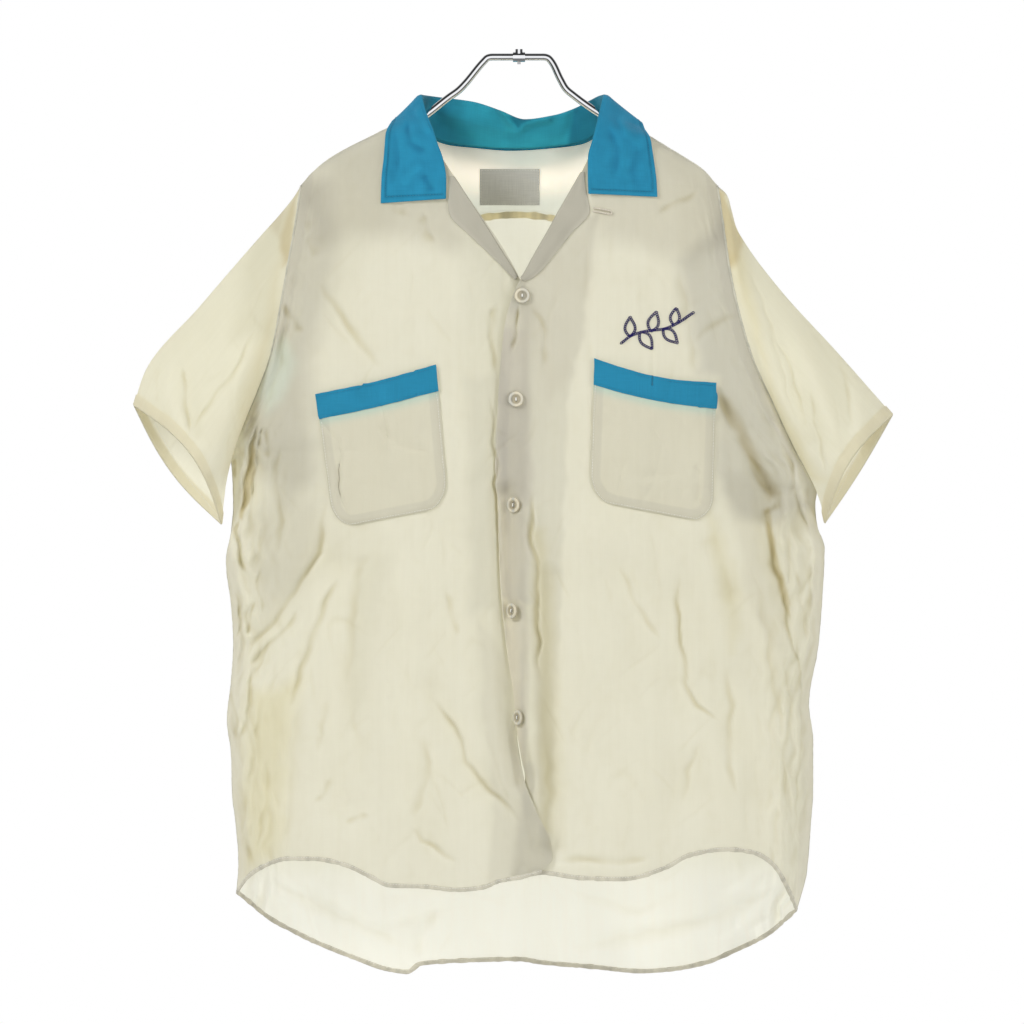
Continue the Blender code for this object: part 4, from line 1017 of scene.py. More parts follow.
def shell_mesh(name, grid, thickness, uv, tint):
    """Cloth of two or more layers: a closed shell whose edges are round."""
    rows, columns = grid.shape[:2]
    u, v = widths(grid), widths(grid.transpose(1, 0, 2)).T
    to_edge = np.minimum(np.minimum(u, u[:, -1:] - u), np.minimum(v, v[-1:] - v))
    half = thickness / 2
    reach = np.clip(to_edge / (1.4 * half), 0, 1)
    wall = half * np.maximum(np.sqrt(1 - (1 - reach) ** 2), 0.12)[..., None] * normals_of(grid)
    faces = grid_faces(rows, columns)
    count = rows * columns
    index = np.arange(count).reshape(rows, columns)
    ring = np.concatenate([index[0], index[1:, -1], index[-1, -2::-1], index[-2:0:-1, 0]])
    ahead = np.roll(ring, -1)
    rim = xyz(ring, ahead, ahead + count, ring + count)
    return mesh_of(name, np.concatenate([grid + wall, grid - wall]).reshape(-1, 3),
                   np.concatenate([faces, faces[:, ::-1] + count, rim]),
                   np.tile(uv.reshape(-1, 2), (2, 1)), np.tile(tint.reshape(-1, 3), (2, 1)))


def frames_along(path, up):
    """Unit directions along a path, out of the cloth and across both."""
    ahead = unit(np.gradient(path, axis=0))
    up = unit(up - ahead * (up * ahead).sum(axis=1, keepdims=True))
    return ahead, up, np.cross(ahead, up)


def around(middle, across, up, wide, high):
    """Points round each middle: as far as wide along across, and as high along up."""
    return middle[..., None, :] + across[..., None, :] * wide[..., None] + up[..., None, :] * high[..., None]


def bar_mesh(name, rings, uv=None, tint=None):
    """A bar through rings of points, closed at both ends."""
    rows, sides = rings.shape[:2]
    caps = [list(range(sides - 1, -1, -1)), list(range((rows - 1) * sides, rows * sides))]
    return mesh_of(name, rings.reshape(-1, 3), grid_faces(rows, sides, True)[:, ::-1].tolist() + caps, uv, tint)


def copies_mesh(name, points, cell):
    """Many like copies: points has a row for each, and cell is the faces of one."""
    first = np.arange(len(points)) * (points[0].size // 3)
    return mesh_of(name, points.reshape(-1, 3), (first[:, None, None] + cell).reshape(-1, 4))


BAND_POWER = 0.62


def band_mesh(name, path, up, width, thickness, tint, seed, sides=14):
    """A narrow sewn band: a flattened tube along a path, a little uneven as sewing leaves it."""
    _, up, across = frames_along(path, up)
    length = lengths(path)
    broad, fine, cloud, long_cloud = (noise(length, 0 * length, bump, seed + number)
                                      for number, bump in enumerate((9, 3.5, 5, 17)))
    pucker = (1 + 0.22 * broad + 0.16 * fine)[:, None]
    wide, high = (np.sign(turn) * np.abs(turn) ** BAND_POWER * full / 2
                  for turn, full in ((np.cos(turns(sides)), width), (np.sin(turns(sides)), thickness)))
    darker = 1 - 0.16 * np.clip(0.5 + cloud + long_cloud, 0, 1.4)
    return bar_mesh(name, around(path, across, up, wide * pucker, high * pucker ** 2),
                    xyz(length[:, None], wide + high).reshape(-1, 2),
                    np.repeat(darker[:, None] * tint, sides, axis=0))


def resampled(path, step):
    """The path at even steps of its length, with the rows of any further columns."""
    length = lengths(path[:, :3])
    count = max(int(length[-1] / step), 2)
    at = (np.arange(count) + 0.5) * length[-1] / count
    return xyz(*(np.interp(at, length, column) for column in path.T))


def stitch_mesh(name, lines, pitch, thread):
    """Sewing stitches along lines of (path, up): short threads that dip into the cloth at both ends."""
    share = np.linspace(-0.5, 0.5, 5)
    radius = np.sqrt(np.maximum(1 - (2 * share) ** 4, 0.05))[:, None] * thread / 2
    points = []
    for line in lines:
        at = resampled(np.hstack(line), pitch)
        ahead, out, across = frames_along(at[:, :3], at[:, 3:])
        middle = around(at[:, :3], ahead, out, share * pitch * 0.82, thread * (0.55 - 0.9 * (2 * share) ** 2))
        points.append(around(middle, across[:, None], out[:, None], radius * np.cos(turns(5)),
                             radius * np.sin(turns(5))))
    return copies_mesh(name, np.concatenate(points), grid_faces(5, 5, True))


def tube_mesh(name, path, radius, sides, up=(0, 1, 0)):
    """Round bar along a path, closed at both ends."""
    _, up, across = frames_along(path, np.broadcast_to(np.asarray(up, float), path.shape))
    radius = np.broadcast_to(radius, len(path))[:, None]
    return bar_mesh(name, around(path, across, up, radius * np.cos(turns(sides)), radius * np.sin(turns(sides))))


# Finishes

def new_material(name):
    material = bpy.data.materials.new(name)
    material.use_nodes = True
    tree = material.node_tree
    return tree, tree.nodes["Principled BSDF"], tree.nodes["Material Output"]


def object_place(tree):
    return add(tree, "ShaderNodeTexCoord").outputs["Object"]


def wire(node, **values):
    """Sets a node's inputs by name, with _ for a blank: each to a number or colour, or joined to a socket."""
    for key, value in values.items():
        socket = node.inputs[key.replace("_", " ")]
        if isinstance(value, bpy.types.NodeSocket):
            node.id_data.links.new(value, socket)
        else:
            socket.default_value = value


def add(tree, kind, **values):
    """A node with its own settings and inputs."""
    made = tree.nodes.new(kind)
    for key, value in values.items():
        if hasattr(made, key):
            setattr(made, key, value)
        else:
            wire(made, **{key: value})
    return made


def mixed(tree, blend, share, a, b):
    """Mixes two colours; each is a socket or a colour, and share is a socket or a number."""
    made = add(tree, "ShaderNodeMix", data_type="RGBA", blend_type=blend)
    for socket, value in ((made.inputs[0], share), (made.inputs[6], a), (made.inputs[7], b)):
        if isinstance(value, bpy.types.NodeSocket):
            tree.links.new(value, socket)
        else:
            socket.default_value = value if isinstance(value, float) else (*value, 1)
    return made.outputs[2]


def slubs(tree, place, across, up, detail=3.0):
    """Noise stretched along the threads."""
    stretch = add(tree, "ShaderNodeMapping", Vector=place, Scale=(across, up, 1))
    return add(tree, "ShaderNodeTexNoise", Vector=stretch.outputs["Vector"], Scale=1.0, Detail=detail,
               Roughness=0.6).outputs["Fac"]


def ranged(tree, value, low, high, to_low, to_high):
    return add(tree, "ShaderNodeMapRange", Value=value, From_Min=low, From_Max=high, To_Min=to_low,
               To_Max=to_high).outputs["Result"]


def summed(tree, *values):
    """Sum of several number sockets."""
    total = values[0]
    for value in values[1:]:
        step = add(tree, "ShaderNodeMath", operation="ADD")
        tree.links.new(total, step.inputs[0])
        tree.links.new(value, step.inputs[1])
        total = step.outputs[0]
    return total


def threads(tree, place, pitch):
    """Plain weave: threads over and under each other in both directions."""
    return summed(tree, *(
        add(tree, "ShaderNodeTexWave", wave_type="BANDS", bands_direction=way, Vector=place,
            Scale=math.pi / (10 * pitch), Distortion=1.2, Detail=1.0, Detail_Scale=0.6).outputs["Fac"]
        for way in "XY"))


def cloth_finish(name, colour, glow, passing, pitch, sheen, rough=(0.74, 0.9), slub=0.025):
    """Thin woven cloth: its tint, which holds painted light and shade, slubs and weave, and light that comes through
    it.
    """
    tree, shader, output = new_material(name)
    place = add(tree, "ShaderNodeUVMap", uv_map="weave").outputs["UV"]
    tint = add(tree, "ShaderNodeAttribute", attribute_name="tint").outputs["Color"]
    yarn = summed(tree, slubs(tree, place, 1400, 45), slubs(tree, place, 45, 1400))
    patch, streak = slubs(tree, place, 16, 12, 2.0), slubs(tree, place, 170, 9)
    weave = threads(tree, place, pitch)
    darker = tuple(c * (1 - 2.6 * slub) for c in colour)
    base = mixed(tree, "MIX", ranged(tree, yarn, 0.75, 1.3, 0.0, slub * 10),
                 mixed(tree, "MULTIPLY", 1.0, tint, colour), mixed(tree, "MULTIPLY", 1.0, tint, darker))
    base = mixed(tree, "MULTIPLY", ranged(tree, patch, 0.42, 0.62, 0.0, 0.35), base, (0.97, 0.962, 0.94))
    base = mixed(tree, "MULTIPLY", ranged(tree, streak, 0.4, 0.68, 0.0, 1.0), base, (0.986, 0.984, 0.978))
    bump = add(tree, "ShaderNodeBump", Strength=0.35, Distance=0.00022, Height=summed(tree, weave, yarn))
    wire(shader, Base_Color=base, Roughness=ranged(tree, summed(tree, weave, patch), 0.4, 2.4, *rough),
         Sheen_Weight=sheen, Sheen_Roughness=0.4, Specular_IOR_Level=0.25, Normal=bump.outputs["Normal"])
    if passing:
        through = add(tree, "ShaderNodeBsdfTranslucent", Color=mixed(tree, "MULTIPLY", 1.0, base, glow))
        mix = tree.nodes.new("ShaderNodeMixShader")
        mix.inputs[0].default_value = passing
        tree.links.new(shader.outputs[0], mix.inputs[1])
        tree.links.new(through.outputs[0], mix.inputs[2])
        tree.links.new(mix.outputs[0], output.inputs["Surface"])


def plain_finish(name, colour, second, mottle, share, rough, **values):
    """One colour that passes into second times itself, in spots: twisted thread, rubbed plating or a floor."""
    tree, shader, _ = new_material(name)
    spots = slubs(tree, object_place(tree), *mottle)
    other = tuple(min(c * second, 1) for c in colour)
    wire(shader, Base_Color=mixed(tree, "MIX", ranged(tree, spots, *share), colour, other),
         Roughness=ranged(tree, spots, *rough), **values)


def pearl_finish(colour):
    """Mother-of-pearl: soft swirls under a gloss."""
    tree, shader, _ = new_material("pearl")
    swirl = slubs(tree, object_place(tree), 190, 420, 4.0)
    cool = tuple(c * f for c, f in zip(colour, (0.86, 0.93, 1.08)))
    warm = tuple(min(c * f, 1) for c, f in zip(colour, (1.25, 1.22, 1.15)))
    # Painted shade: darker in the dish and round the outer edge, and paler on the rim between
    dish = add(tree, "ShaderNodeAttribute", attribute_name="tint").outputs["Vector"]
    dish = add(tree, "ShaderNodeSeparateXYZ", Vector=dish).outputs["X"]
    base = mixed(tree, "MIX", ranged(tree, swirl, 0.35, 0.65, 0.0, 1.0), cool, warm)
    wire(shader, Base_Color=mixed(tree, "MULTIPLY", dish, base, (0.62, 0.58, 0.5)),
         Roughness=ranged(tree, swirl, 0.3, 0.7, 0.16, 0.3), Coat_Weight=0.6, Coat_Roughness=0.08)


def finishes():
    """The finishes by name, made once."""
    if "body_weave" not in bpy.data.materials:
        colours, weave = bpy.context.scene.shirt_colours, bpy.context.scene.shirt_cloth.weave
        cream, glow, teal, navy, pearl, label, chrome, floor = (
            tuple(getattr(colours, name)) for name in ShirtColours.__annotations__)
        for name, passing in (("body_weave", 0.45), ("back_weave", 0.7), ("lined_weave", 0.16)):
            cloth_finish(name, cream, glow, passing, weave, 0.15)
        cloth_finish("teal_weave", teal, (0.6, 0.9, 0.9), 0.06, weave, 0.12, slub=0.07)
        cloth_finish("label_weave", label, (1, 1, 1), 0, weave * 0.8, 0.3, (0.45, 0.65), 0.08)
        threads_of = (("cream_thread", tuple(c * 0.86 for c in cream), 0.1),
                      ("loop_thread", (0.50, 0.46, 0.38), 0.1),
                      ("teal_thread", tuple(c * 0.6 for c in teal), 0.1), ("navy_thread", navy, 0.0))
        for name, colour, sheen in threads_of:
            plain_finish(name, colour, 1.5, (1900, 1900, 2.0), (0.35, 0.65, 0.0, 0.6), (0.3, 0.7, 0.45, 0.7),
                         Sheen_Weight=sheen)
        pearl_finish(pearl)
        plain_finish("chrome_plate", chrome, 0.9, (40, 120, 3.0), (0.4, 0.75, 0.0, 1.0), (0.35, 0.75, 0.04, 0.09),
                     Metallic=1)
        plain_finish("studio_floor", floor, 1.03, (3, 3, 3.0), (0.0, 1.0, 0.0, 1.0), (0.3, 0.7, 0.7, 0.85))
    return bpy.data.materials


# Pieces

FRONT_ARMHOLE_ROWS, FRONT_SIDE_ROWS = 120, 240
FRONT_COLUMNS, SIDE_CLOSER = 190, 0.35
# Painted shade in the rolled hems, where the cloth lies in several layers
HEM_SHADE, HEM_THICK = (0.82, 0.79, 0.74), 1.5
# Painted shade: the fronts a little darker all over, and darker still over the seam allowance by the side seams,
# where layers lie together
FRONT_SHADE, ALLOWANCE_SHADE = (0.93, 0.92, 0.915), (0.94, 0.935, 0.94)
RETURN_COLUMNS = 9
FOLD_R = 0.55


def zone_tints(zones, x, z):
    """Painted light and shade of the zones at (x, z). Their outlines waver a little."""
    tint = np.ones((*x.shape, 3))
    x, z = x + 3.5 * noise(x, z, 38, 61) + 1.5 * noise(x, z, 13, 62), z + 6 * noise(x, z, 38, 63)
    for zone in zones:
        tint *= toned(zone.tint, zone_share(zone, x, z))
    return tint


def front_grid(half):
    """A front panel from its shoulder down to its hem, and from its placket edge out to the side."""
    side = np.concatenate([along(half.armhole, shares(FRONT_ARMHOLE_ROWS + 1) ** 1.15),
                           along(half.side, shares(FRONT_SIDE_ROWS + 1)[1:])])
    edge = np.asarray(half.edge, float)
    level = (side[:, 1] - side[0, 1]) / (side[-1, 1] - side[0, 1])
    heights = edge[0, 1] + (edge[-1, 1] - edge[0, 1]) * level
    inner = xyz(pchip(edge[::-1, 1], edge[::-1, 0], heights), heights)
    columns = shares(FRONT_COLUMNS)
    columns -= SIDE_CLOSER * np.sin(math.tau * columns) / math.tau
    flat = coons(along(half.shoulder, columns), along(half.hem, columns), inner, side)
    return laid_on(partial(front_y, half), flip(half, flat))


def turned_edge(grid, sign):
    """Adds the cloth that turns back inside at the placket edge."""
    normal = normals_of(grid) * sign
    first, ahead = grid[:, 0], unit(grid[:, 1] - grid[:, 0])
    bend = [first - normal[:, 0] * FOLD_R * (1 - math.cos(a)) - ahead * FOLD_R * math.sin(a)
            for a in np.linspace(0, math.pi, 6)[1:-1]]
    under = (grid - normal * 2 * FOLD_R)[:, :RETURN_COLUMNS]
    return np.concatenate([under[:, ::-1], np.stack(bend[::-1], axis=1), grid], axis=1)


def build_front(side):
    half = HALVES[side]
    grid = front_grid(half)
    full = turned_edge(grid, half.sign)
    x, z = xz(full)
    # Painted light and shade: the zones, the troughs of the creases, wrinkles and folds, and the seam allowance
    tint = zone_tints(FRONT_LIGHT_SHADE_ZONES[side], x, z) * FRONT_SHADE * relief_shade(front_creases(x, z), 0.8, 36, 1.7)
    tint *= relief_shade(crumple(x, z, FRONT_SEED) * side_fade(x, z, 8), 1.9)
    tint *= toned(ALLOWANCE_SHADE, 1 - smooth_step(9, 12, to_side(x, z) + 2 * noise(x, z, 14, 64)))
    tint *= relief_shade(folds(FRONT_FOLDS, x, z) * side_fade(x, z), 9.0, 160)
    return piece(sheet_mesh(f"{side}_front", full, tint), "body_weave", None, f"front_{side}"), grid


def build_hem(name, row, inner_row, sign, parent, seed):
    """Rolled hem along a panel's lower row, with its stitching on both sides."""
    width = bpy.context.scene.shirt_cloth.hem / MM
    up_cloth = unit(inner_row - row)
    out = unit(np.cross(np.gradient(row, axis=0), up_cloth) * sign)
    path = row + up_cloth * (width / 2 - 0.5)
    # The hem band is painted darker: painted shade
    piece(band_mesh(name, path, out, width, HEM_THICK, HEM_SHADE, seed), "lined_weave", parent)
    line = row + up_cloth * (width - 1.3)
    sewn(name, [(line + way * HEM_THICK * 0.47, way) for way in (out, -out)], parent)


class SHIRT_OT_fronts(bpy.types.Operator):
    """Builds the two fronts with their turned edges and rolled hems"""

    bl_idname = "shirt.fronts"
    bl_label = "Fronts"

    def execute(self, context):
        for seed, side in enumerate(HALVES, 50):
            obj, grid = build_front(side)
            build_hem(f"{side}_front_hem", grid[-1], grid[-4], 1, obj, seed)
        return {"FINISHED"}


BACK_ARMHOLE_ROWS, BACK_SIDE_ROWS = 70, 170
BACK_COLUMNS = 250
# Painted light: the back paler, its long tail paler still, and the yoke much paler just under the collar, where the
# collar's shadow falls
BACK_PAINTED_LIGHT, TAIL_PAINTED_LIGHT = (1.09, 1.095, 1.10), (1.155, 1.165, 1.22)
UNDER_COLLAR_PAINTED_LIGHT = (1.33, 1.25, 1.23)
YOKE_ROWS, SHOULDER_COLUMNS, NECK_COLUMNS = 70, 60, 110


def yoke_bottom(columns):
    """The yoke's lower seam, from armhole to armhole."""
    bottom = along(YOKE_SEAM, columns)
    start, end = (flip(half, along(half.armhole, [YOKE_SHARE]))[0] for half in (RIGHT, LEFT))
    return bottom + columns[:, None] * (end - bottom[-1]) + (1 - columns[:, None]) * (start - bottom[0])


def yoke_grid():
    run, rows = shares(SHOULDER_COLUMNS + 1), shares(YOKE_ROWS + 1) ** 1.2 * YOKE_SHARE
    right, left = (flip(half, along(half.shoulder, run)) for half in (RIGHT, LEFT))
    neck = along(NECK_SEAM, shares(NECK_COLUMNS + 1))
    top = np.concatenate([right[::-1], neck[1:-1], left])
    return laid_on(back_y, coons(top, yoke_bottom(shares(len(top))),
                                 *(flip(half, along(half.armhole, rows)) for half in (RIGHT, LEFT))))


def back_columns():
    """Shares across the back, with one at the middle of each side pleat."""
    first, last = PLEAT_AT
    side = round(BACK_COLUMNS * first)
    return np.concatenate([np.linspace(0, first, side), np.linspace(first, last, BACK_COLUMNS - 2 * side)[1:-1],
                           np.linspace(last, 1, side)])


def pleated(grid, columns):
    """Adds the two side pleats: cloth that runs over, under and on."""
    laps, spaces = (pchip([row.z for row in PLEAT][::-1], [getattr(row, name) for row in PLEAT][::-1],
                          grid[:, 0, 2]) for name in ("lap", "part"))
    open_out = PLEAT_SPREAD * (1 - smooth_step(0, 7, laps))
    pleats = []
    for share, way in zip(PLEAT_AT, (1, -1)):
        here = int(np.argmin(np.abs(columns - share)))
        run = (grid[:, here + 1] - grid[:, here - 1]) / (grid[:, here + 1, :1] - grid[:, here - 1, :1])
        pleats.append((here, grid[:, here].copy(), run, way))
    for here, place, run, way in pleats:
        for block, side in ((slice(max(here - 40, 1), here), -1), (slice(here + 1, here + 41), 1)):
            gap = np.abs(grid[:, block, 0] - place[:, None, 0])
            near = 1 - smooth_step(0, PLEAT_EASE, gap)
            # The cloth meets the pleat's first or last column, which lies a lap away
            shift = side * (way * laps + open_out)[:, None] * near
            grid[:, block] += run[:, None] * shift[..., None]
            grid[:, block, 1] -= side * spaces[:, None] * near
    parts, done = [], 0
    for here, place, run, way in pleats:
        parts.append(grid[:, done:here])
        for (lap, layer), aside in zip(PLEAT_LAYERS, np.linspace(-1, 1, len(PLEAT_LAYERS))):
            moved = place + run * (way * lap * laps + aside * open_out)[:, None]
            moved[:, 1] += layer * spaces
            parts.append(moved[:, None])
        done = here + 1
    return np.concatenate([*parts, grid[:, done:]], axis=1)


def back_grid(columns):
    sides = []
    for half in (RIGHT, LEFT):
        armhole = along(half.armhole, YOKE_SHARE + (1 - YOKE_SHARE) * shares(BACK_ARMHOLE_ROWS + 1))
        side = along(half.side, shares(BACK_SIDE_ROWS + 1)[1:])
        sides.append(flip(half, np.concatenate([armhole, side])))
    hem = np.concatenate([flip(RIGHT, RIGHT.back_hem)[::-1], flip(LEFT, LEFT.back_hem)[1:]])
    flat = coons(yoke_bottom(columns), along(hem, columns), *sides)
    return pleated(laid_on(back_y, flat), columns)


class SHIRT_OT_back(bpy.types.Operator):
    """Builds the back with its side pleats and long tail, and the yoke above it"""

    bl_idname = "shirt.back"
    bl_label = "Back and yoke"

    def execute(self, context):
        grid = back_grid(back_columns())
        # Painted light on the back, most on its tail, and painted shade in its troughs
        tail = smooth_step(-760, -800, grid[..., 2])[..., None]
        tint = BACK_PAINTED_LIGHT + np.subtract(TAIL_PAINTED_LIGHT, BACK_PAINTED_LIGHT) * tail
        tint *= relief_shade(back_small(*xz(grid)), 4.0)
        obj = piece(sheet_mesh("back_panel", grid, tint), "back_weave", None, "back")
        build_hem("back_hem", grid[-1], grid[-4], -1, obj, 60)
        grid = yoke_grid()
        x, z = xz(grid)
        # Painted light that takes away the collar's shadow on the yoke, most at the middle just under it, and slight
        # painted shade lower down
        collar_light_share = smooth_step(-142, -92, z) * (2.7 - 1.5 * smooth_step(20, 66, np.abs(x)))
        collar_light_share = (collar_light_share - 0.35 * np.exp(-((z + 142) / 18) ** 2)) * smooth_step(104, 70, np.abs(x))
        tint = BACK_PAINTED_LIGHT * toned(UNDER_COLLAR_PAINTED_LIGHT, collar_light_share)
        yoke = piece(sheet_mesh("yoke_panel", grid, tint), "back_weave", None, "yoke")
        seam = yoke_bottom(np.linspace(0.02, 0.98, 160))
        path, skin = on_back(seam, -0.9), on_back(seam, 0)
        # The seam band is painted a little paler and warmer: painted light
        piece(band_mesh("yoke_seam", path, path - skin, 6.5, 0.8, (1.07, 1.03, 0.98), 65), "back_weave", yoke)
        out = on_back(seam, 1) - skin
        sewn("yoke", [(on_back(seam + (0, lift), 0.1), out) for lift in (1.5, 4.5)], yoke)
        return {"FINISHED"}


SLEEVE_FRONT, SLEEVE_BACK, SLEEVE_RINGS = 120, 120, 90
SLEEVE_CLEAR = 0.4
SLEEVE_FOLD_DEPTH = 1.3
HEM_RINGS = 8
# Painted shade on the sleeve hems and on the armhole, side and shoulder seams, where the cloth lies in several layers
SLEEVE_TINT, SLEEVE_HEM_SHADE, ARMHOLE_SHADE = (1.0, 0.99, 0.955), (0.97, 0.95, 0.91), (0.77, 0.76, 0.73)
SEAM_SHADE = (0.87, 0.86, 0.83)


def sleeve_grid(half):
    """Rings of a sleeve from the armhole to the cuff edge."""
    share = np.concatenate([shares(SLEEVE_FRONT + 1), np.linspace(1, 0, SLEEVE_BACK + 1)[1:-1]])
    behind = np.arange(len(share)) > SLEEVE_FRONT
    armhole = along(half.armhole, share)
    x, z = flip(half, armhole).T
    run = unit(np.subtract(*(along(half.armhole, np.clip(share + step, 0, 1)) for step in (0.01, -0.01))))
    first = xyz(armhole[:, 0] - run[:, 1] * SLEEVE_CLEAR, np.where(behind, back_y(x, z), front_y(half, x, z)),
                armhole[:, 1] + run[:, 0] * SLEEVE_CLEAR)
    cuff_top, cuff_low = np.array(half.top[-1], float), np.array(half.under, float)
    across = unit(cuff_low - cuff_top)
    bow = np.sin(math.pi * share)
    offset = np.where(behind, half.cuff_back, half.cuff_front) * bow
    ring = cuff_top + (cuff_low - cuff_top) * share[:, None] + across[::-1] * (1, -1) * offset[:, None]
    cuff_y = np.where(behind, CUFF_DEPTH[1], -CUFF_DEPTH[0]) * np.maximum(bow, 0) ** 0.7
    down = shares(SLEEVE_RINGS + 1) ** 1.2
    top_line = along(half.top, down)
    bend = top_line - top_line[0] - (top_line[-1] - top_line[0]) * down[:, None]
    grid = first + (xyz(ring[:, 0], cuff_y, ring[:, 1]) - first) * down[:, None, None]
    grid[..., [0, 2]] += bend[:, None] * ((1 - share) ** 2)[:, None]
    grid[..., 1] *= (1 + 0.12 * np.sin(math.pi * down))[:, None]
    grid[..., 0] *= half.sign
    x, z = xz(grid)
    apart = x + 900.0 * behind
    loose = np.sin(math.pi * np.clip(down * 0.62, 0, 0.5))[:, None] * bow ** 0.5
    small = SLEEVE_FOLD_DEPTH * creases(SLEEVE_CREASES, x, z, 85) - thin_lines(apart, z, 71)
    wave = SLEEVE_FOLD_DEPTH * folds(SLEEVE_FOLDS, x, z) * np.where(behind, 0.7, 1) + small
    wave += 2.0 * noise(apart, z, 42, 71) + noise(apart + 0.4 * z, z * 0.6, 17, 72)
    grid[..., 1] += wave * loose * np.where(behind, 1, -1)
    return grid, small * loose, behind


def build_sleeve(side, seed):
    half, hem = HALVES[side], bpy.context.scene.shirt_cloth.sleeve_hem / MM
    grid, small, behind = sleeve_grid(half)
    normal = normals_of(grid, True) * half.sign
    length = widths(grid.transpose(1, 0, 2))
    turned = np.linspace(0, hem, HEM_RINGS + 1)[1:]
    inward = []
    for back in turned:
        at, skin = (at_width(values.transpose(1, 0, 2), length, length[:, -1] - back) for values in (grid, normal))
        inward.append(at - skin * 1.1 * min(1, 0.35 + back / 1.5))
    full = np.concatenate([grid, np.array(inward)])
    in_hem = 1 - smooth_step(hem - 0.8, hem + 0.8, length[:, -1:] - length).T
    in_hem = np.pad(in_hem, ((0, HEM_RINGS), (0, 0)), constant_values=1)
    # Painted shade in the hem, in the troughs of the creases and in the zones
    tint = np.array(SLEEVE_TINT) * toned(SLEEVE_HEM_SHADE, in_hem)
    tint[:len(grid)] *= relief_shade(small, 1.5, 24)
    tint *= np.where(behind[:, None], 1, zone_tints(SLEEVE_SHADE_ZONES[side], *xz(full)))
    middle = length.mean(axis=0)
    uv = xyz(np.linspace(0, 480, full.shape[1]), np.concatenate([middle, middle[-1] - turned])[:, None])
    obj = piece(sheet_mesh(f"{side}_sleeve", full, tint, uv, True), "body_weave", None, f"sleeve_{side}")
    row = int(np.argmin(np.abs(middle[-1] - middle - hem + 1.2)))
    line, out, armhole, out_there = (np.concatenate([ring, ring[:1]])
                                     for ring in (grid[row], normal[row], grid[0], normal[1]))
    sewn(f"{side}_cuff", [(line + out * 0.12, out)], obj)
    # The armhole seam is painted darker: painted shade
    piece(band_mesh(f"{side}_armhole_seam", armhole, out_there, 2.2, 1.5, ARMHOLE_SHADE, seed), "lined_weave", obj)
    return obj


class SHIRT_OT_sleeves(bpy.types.Operator):
    """Builds the two sleeves with their turned hems and armhole seams"""

    bl_idname = "shirt.sleeves"
    bl_label = "Sleeves"

    def execute(self, context):
        for seed, side in ((80, "left"), (84, "right")):
            obj = build_sleeve(side, seed)
        return {"FINISHED"}


class SHIRT_OT_seams(bpy.types.Operator):
    """Builds the side and shoulder seams"""

    bl_idname = "shirt.seams"
    bl_label = "Side and shoulder seams"

    def execute(self, context):
        for seed, (side, half) in enumerate(HALVES.items(), 90):
            for name, outline, count in (("side", half.side, 260), ("shoulder", half.shoulder, 60)):
                line = flip(half, along(outline, shares(count)))
                path = xyz(line[:, 0] - half.sign * 0.5, 0, line[:, 1])
                # The seams are painted darker: painted shade
                mesh = band_mesh(f"{side}_{name}_seam", path, np.array([0.0, -1.0, 0.0]), 2.0, 1.7, SEAM_SHADE, seed)
                piece(mesh, "lined_weave", bpy.data.objects[f"{side}_front"])
        return {"FINISHED"}


def rolled(seam, fold, edge, roll):
    """One section of the collar: up the stand from the seam, over the fold and down the fall."""
    inner, outer = unit(seam - fold), unit(edge - fold)
    crest = unit(-(inner + outer))
    across = outer - inner
    across = unit(across - crest * (across @ crest))
    turn_in, turn_out = fold - roll * (across + crest), fold + roll * (across - crest)
    return np.array([seam, (seam + turn_in) / 2, turn_in, fold, turn_out,
                     *(turn_out + (edge - turn_out) * share for share in (0.25, 0.5, 0.75, 1))])


def leaf_rows(half, table):
    rows = []
    for leaf in table:
        fold, edge = on_front(half, leaf.fold, LEAF_LIFT), on_front(half, leaf.edge, LAYER + ON_TOP)
        seam = fold + unit(edge - fold) * 2.4 * LEAF_ROLL + (0, LEAF_ROLL, 0)
        rows.append(rolled(seam, fold, edge, LEAF_ROLL))
    return rows


COLLAR_SECTIONS = 330
# Painted shade in the leaves' troughs, and painted light on their ridges
COLLAR_RELIEF, LEAF_TROUGH_SHADE = 0.5, np.array([0.16, 0.15, 0.12])
COLLAR_STITCH = 4.3
# Painted light: the inner face of the stand lighter and greener
COLLAR_INNER_LIGHT = (1.3, 1.32, 1.06)
COLLAR_FOLDS = drawn(
    (-4.5, 4, (500, 108), (511, 122), (516, 126)),
    (4.0, 5, (516, 128), (528, 121), (548, 116)),
    (3.0, 7, (446, 112), (478, 122), (506, 130)),
    (-3.0, 6, (574, 112), (572, 128), (564, 142)),
    (-2.5, 7, (428, 112), (450, 128), (470, 146)),
)
# Painted shade in the stand's folds, and painted highlights beside them and along its lower part
COLLAR_LIGHT_SHADE_ZONES = outlined(
    ((0.58, 0.62, 0.66), 2, (508, 112), (520, 114), (531, 119), (517, 127)),
    ((1.22, 1.16, 1.08), 3.5, (497, 111), (508, 113), (516, 128), (506, 130)),
    ((1.14, 1.12, 1.08), 8, (470, 132), (520, 138), (566, 136), (562, 148), (500, 150), (474, 144)),
    ((0.86, 0.92, 0.88), 8, (432, 118), (458, 116), (474, 134), (456, 142)),
)
LEAF_CREASES = drawn(
    (-1.8, 3.5, (407, 120), (411, 143), (428, 158)),
    (1.6, 4, (402, 188), (413, 175), (424, 164)),
    (-1.6, 3.5, (424, 172), (431, 187), (436, 196)),
    (1.4, 5, (416, 104), (421, 124), (432, 140)),
    (-1.2, 4, (394, 130), (398, 160), (392, 190)),
    (1.3, 5, (616, 110), (628, 136), (646, 152)),
    (-1.5, 4, (606, 128), (618, 150), (612, 182)),
    (-1.2, 4, (640, 148), (630, 172), (640, 190)),
)


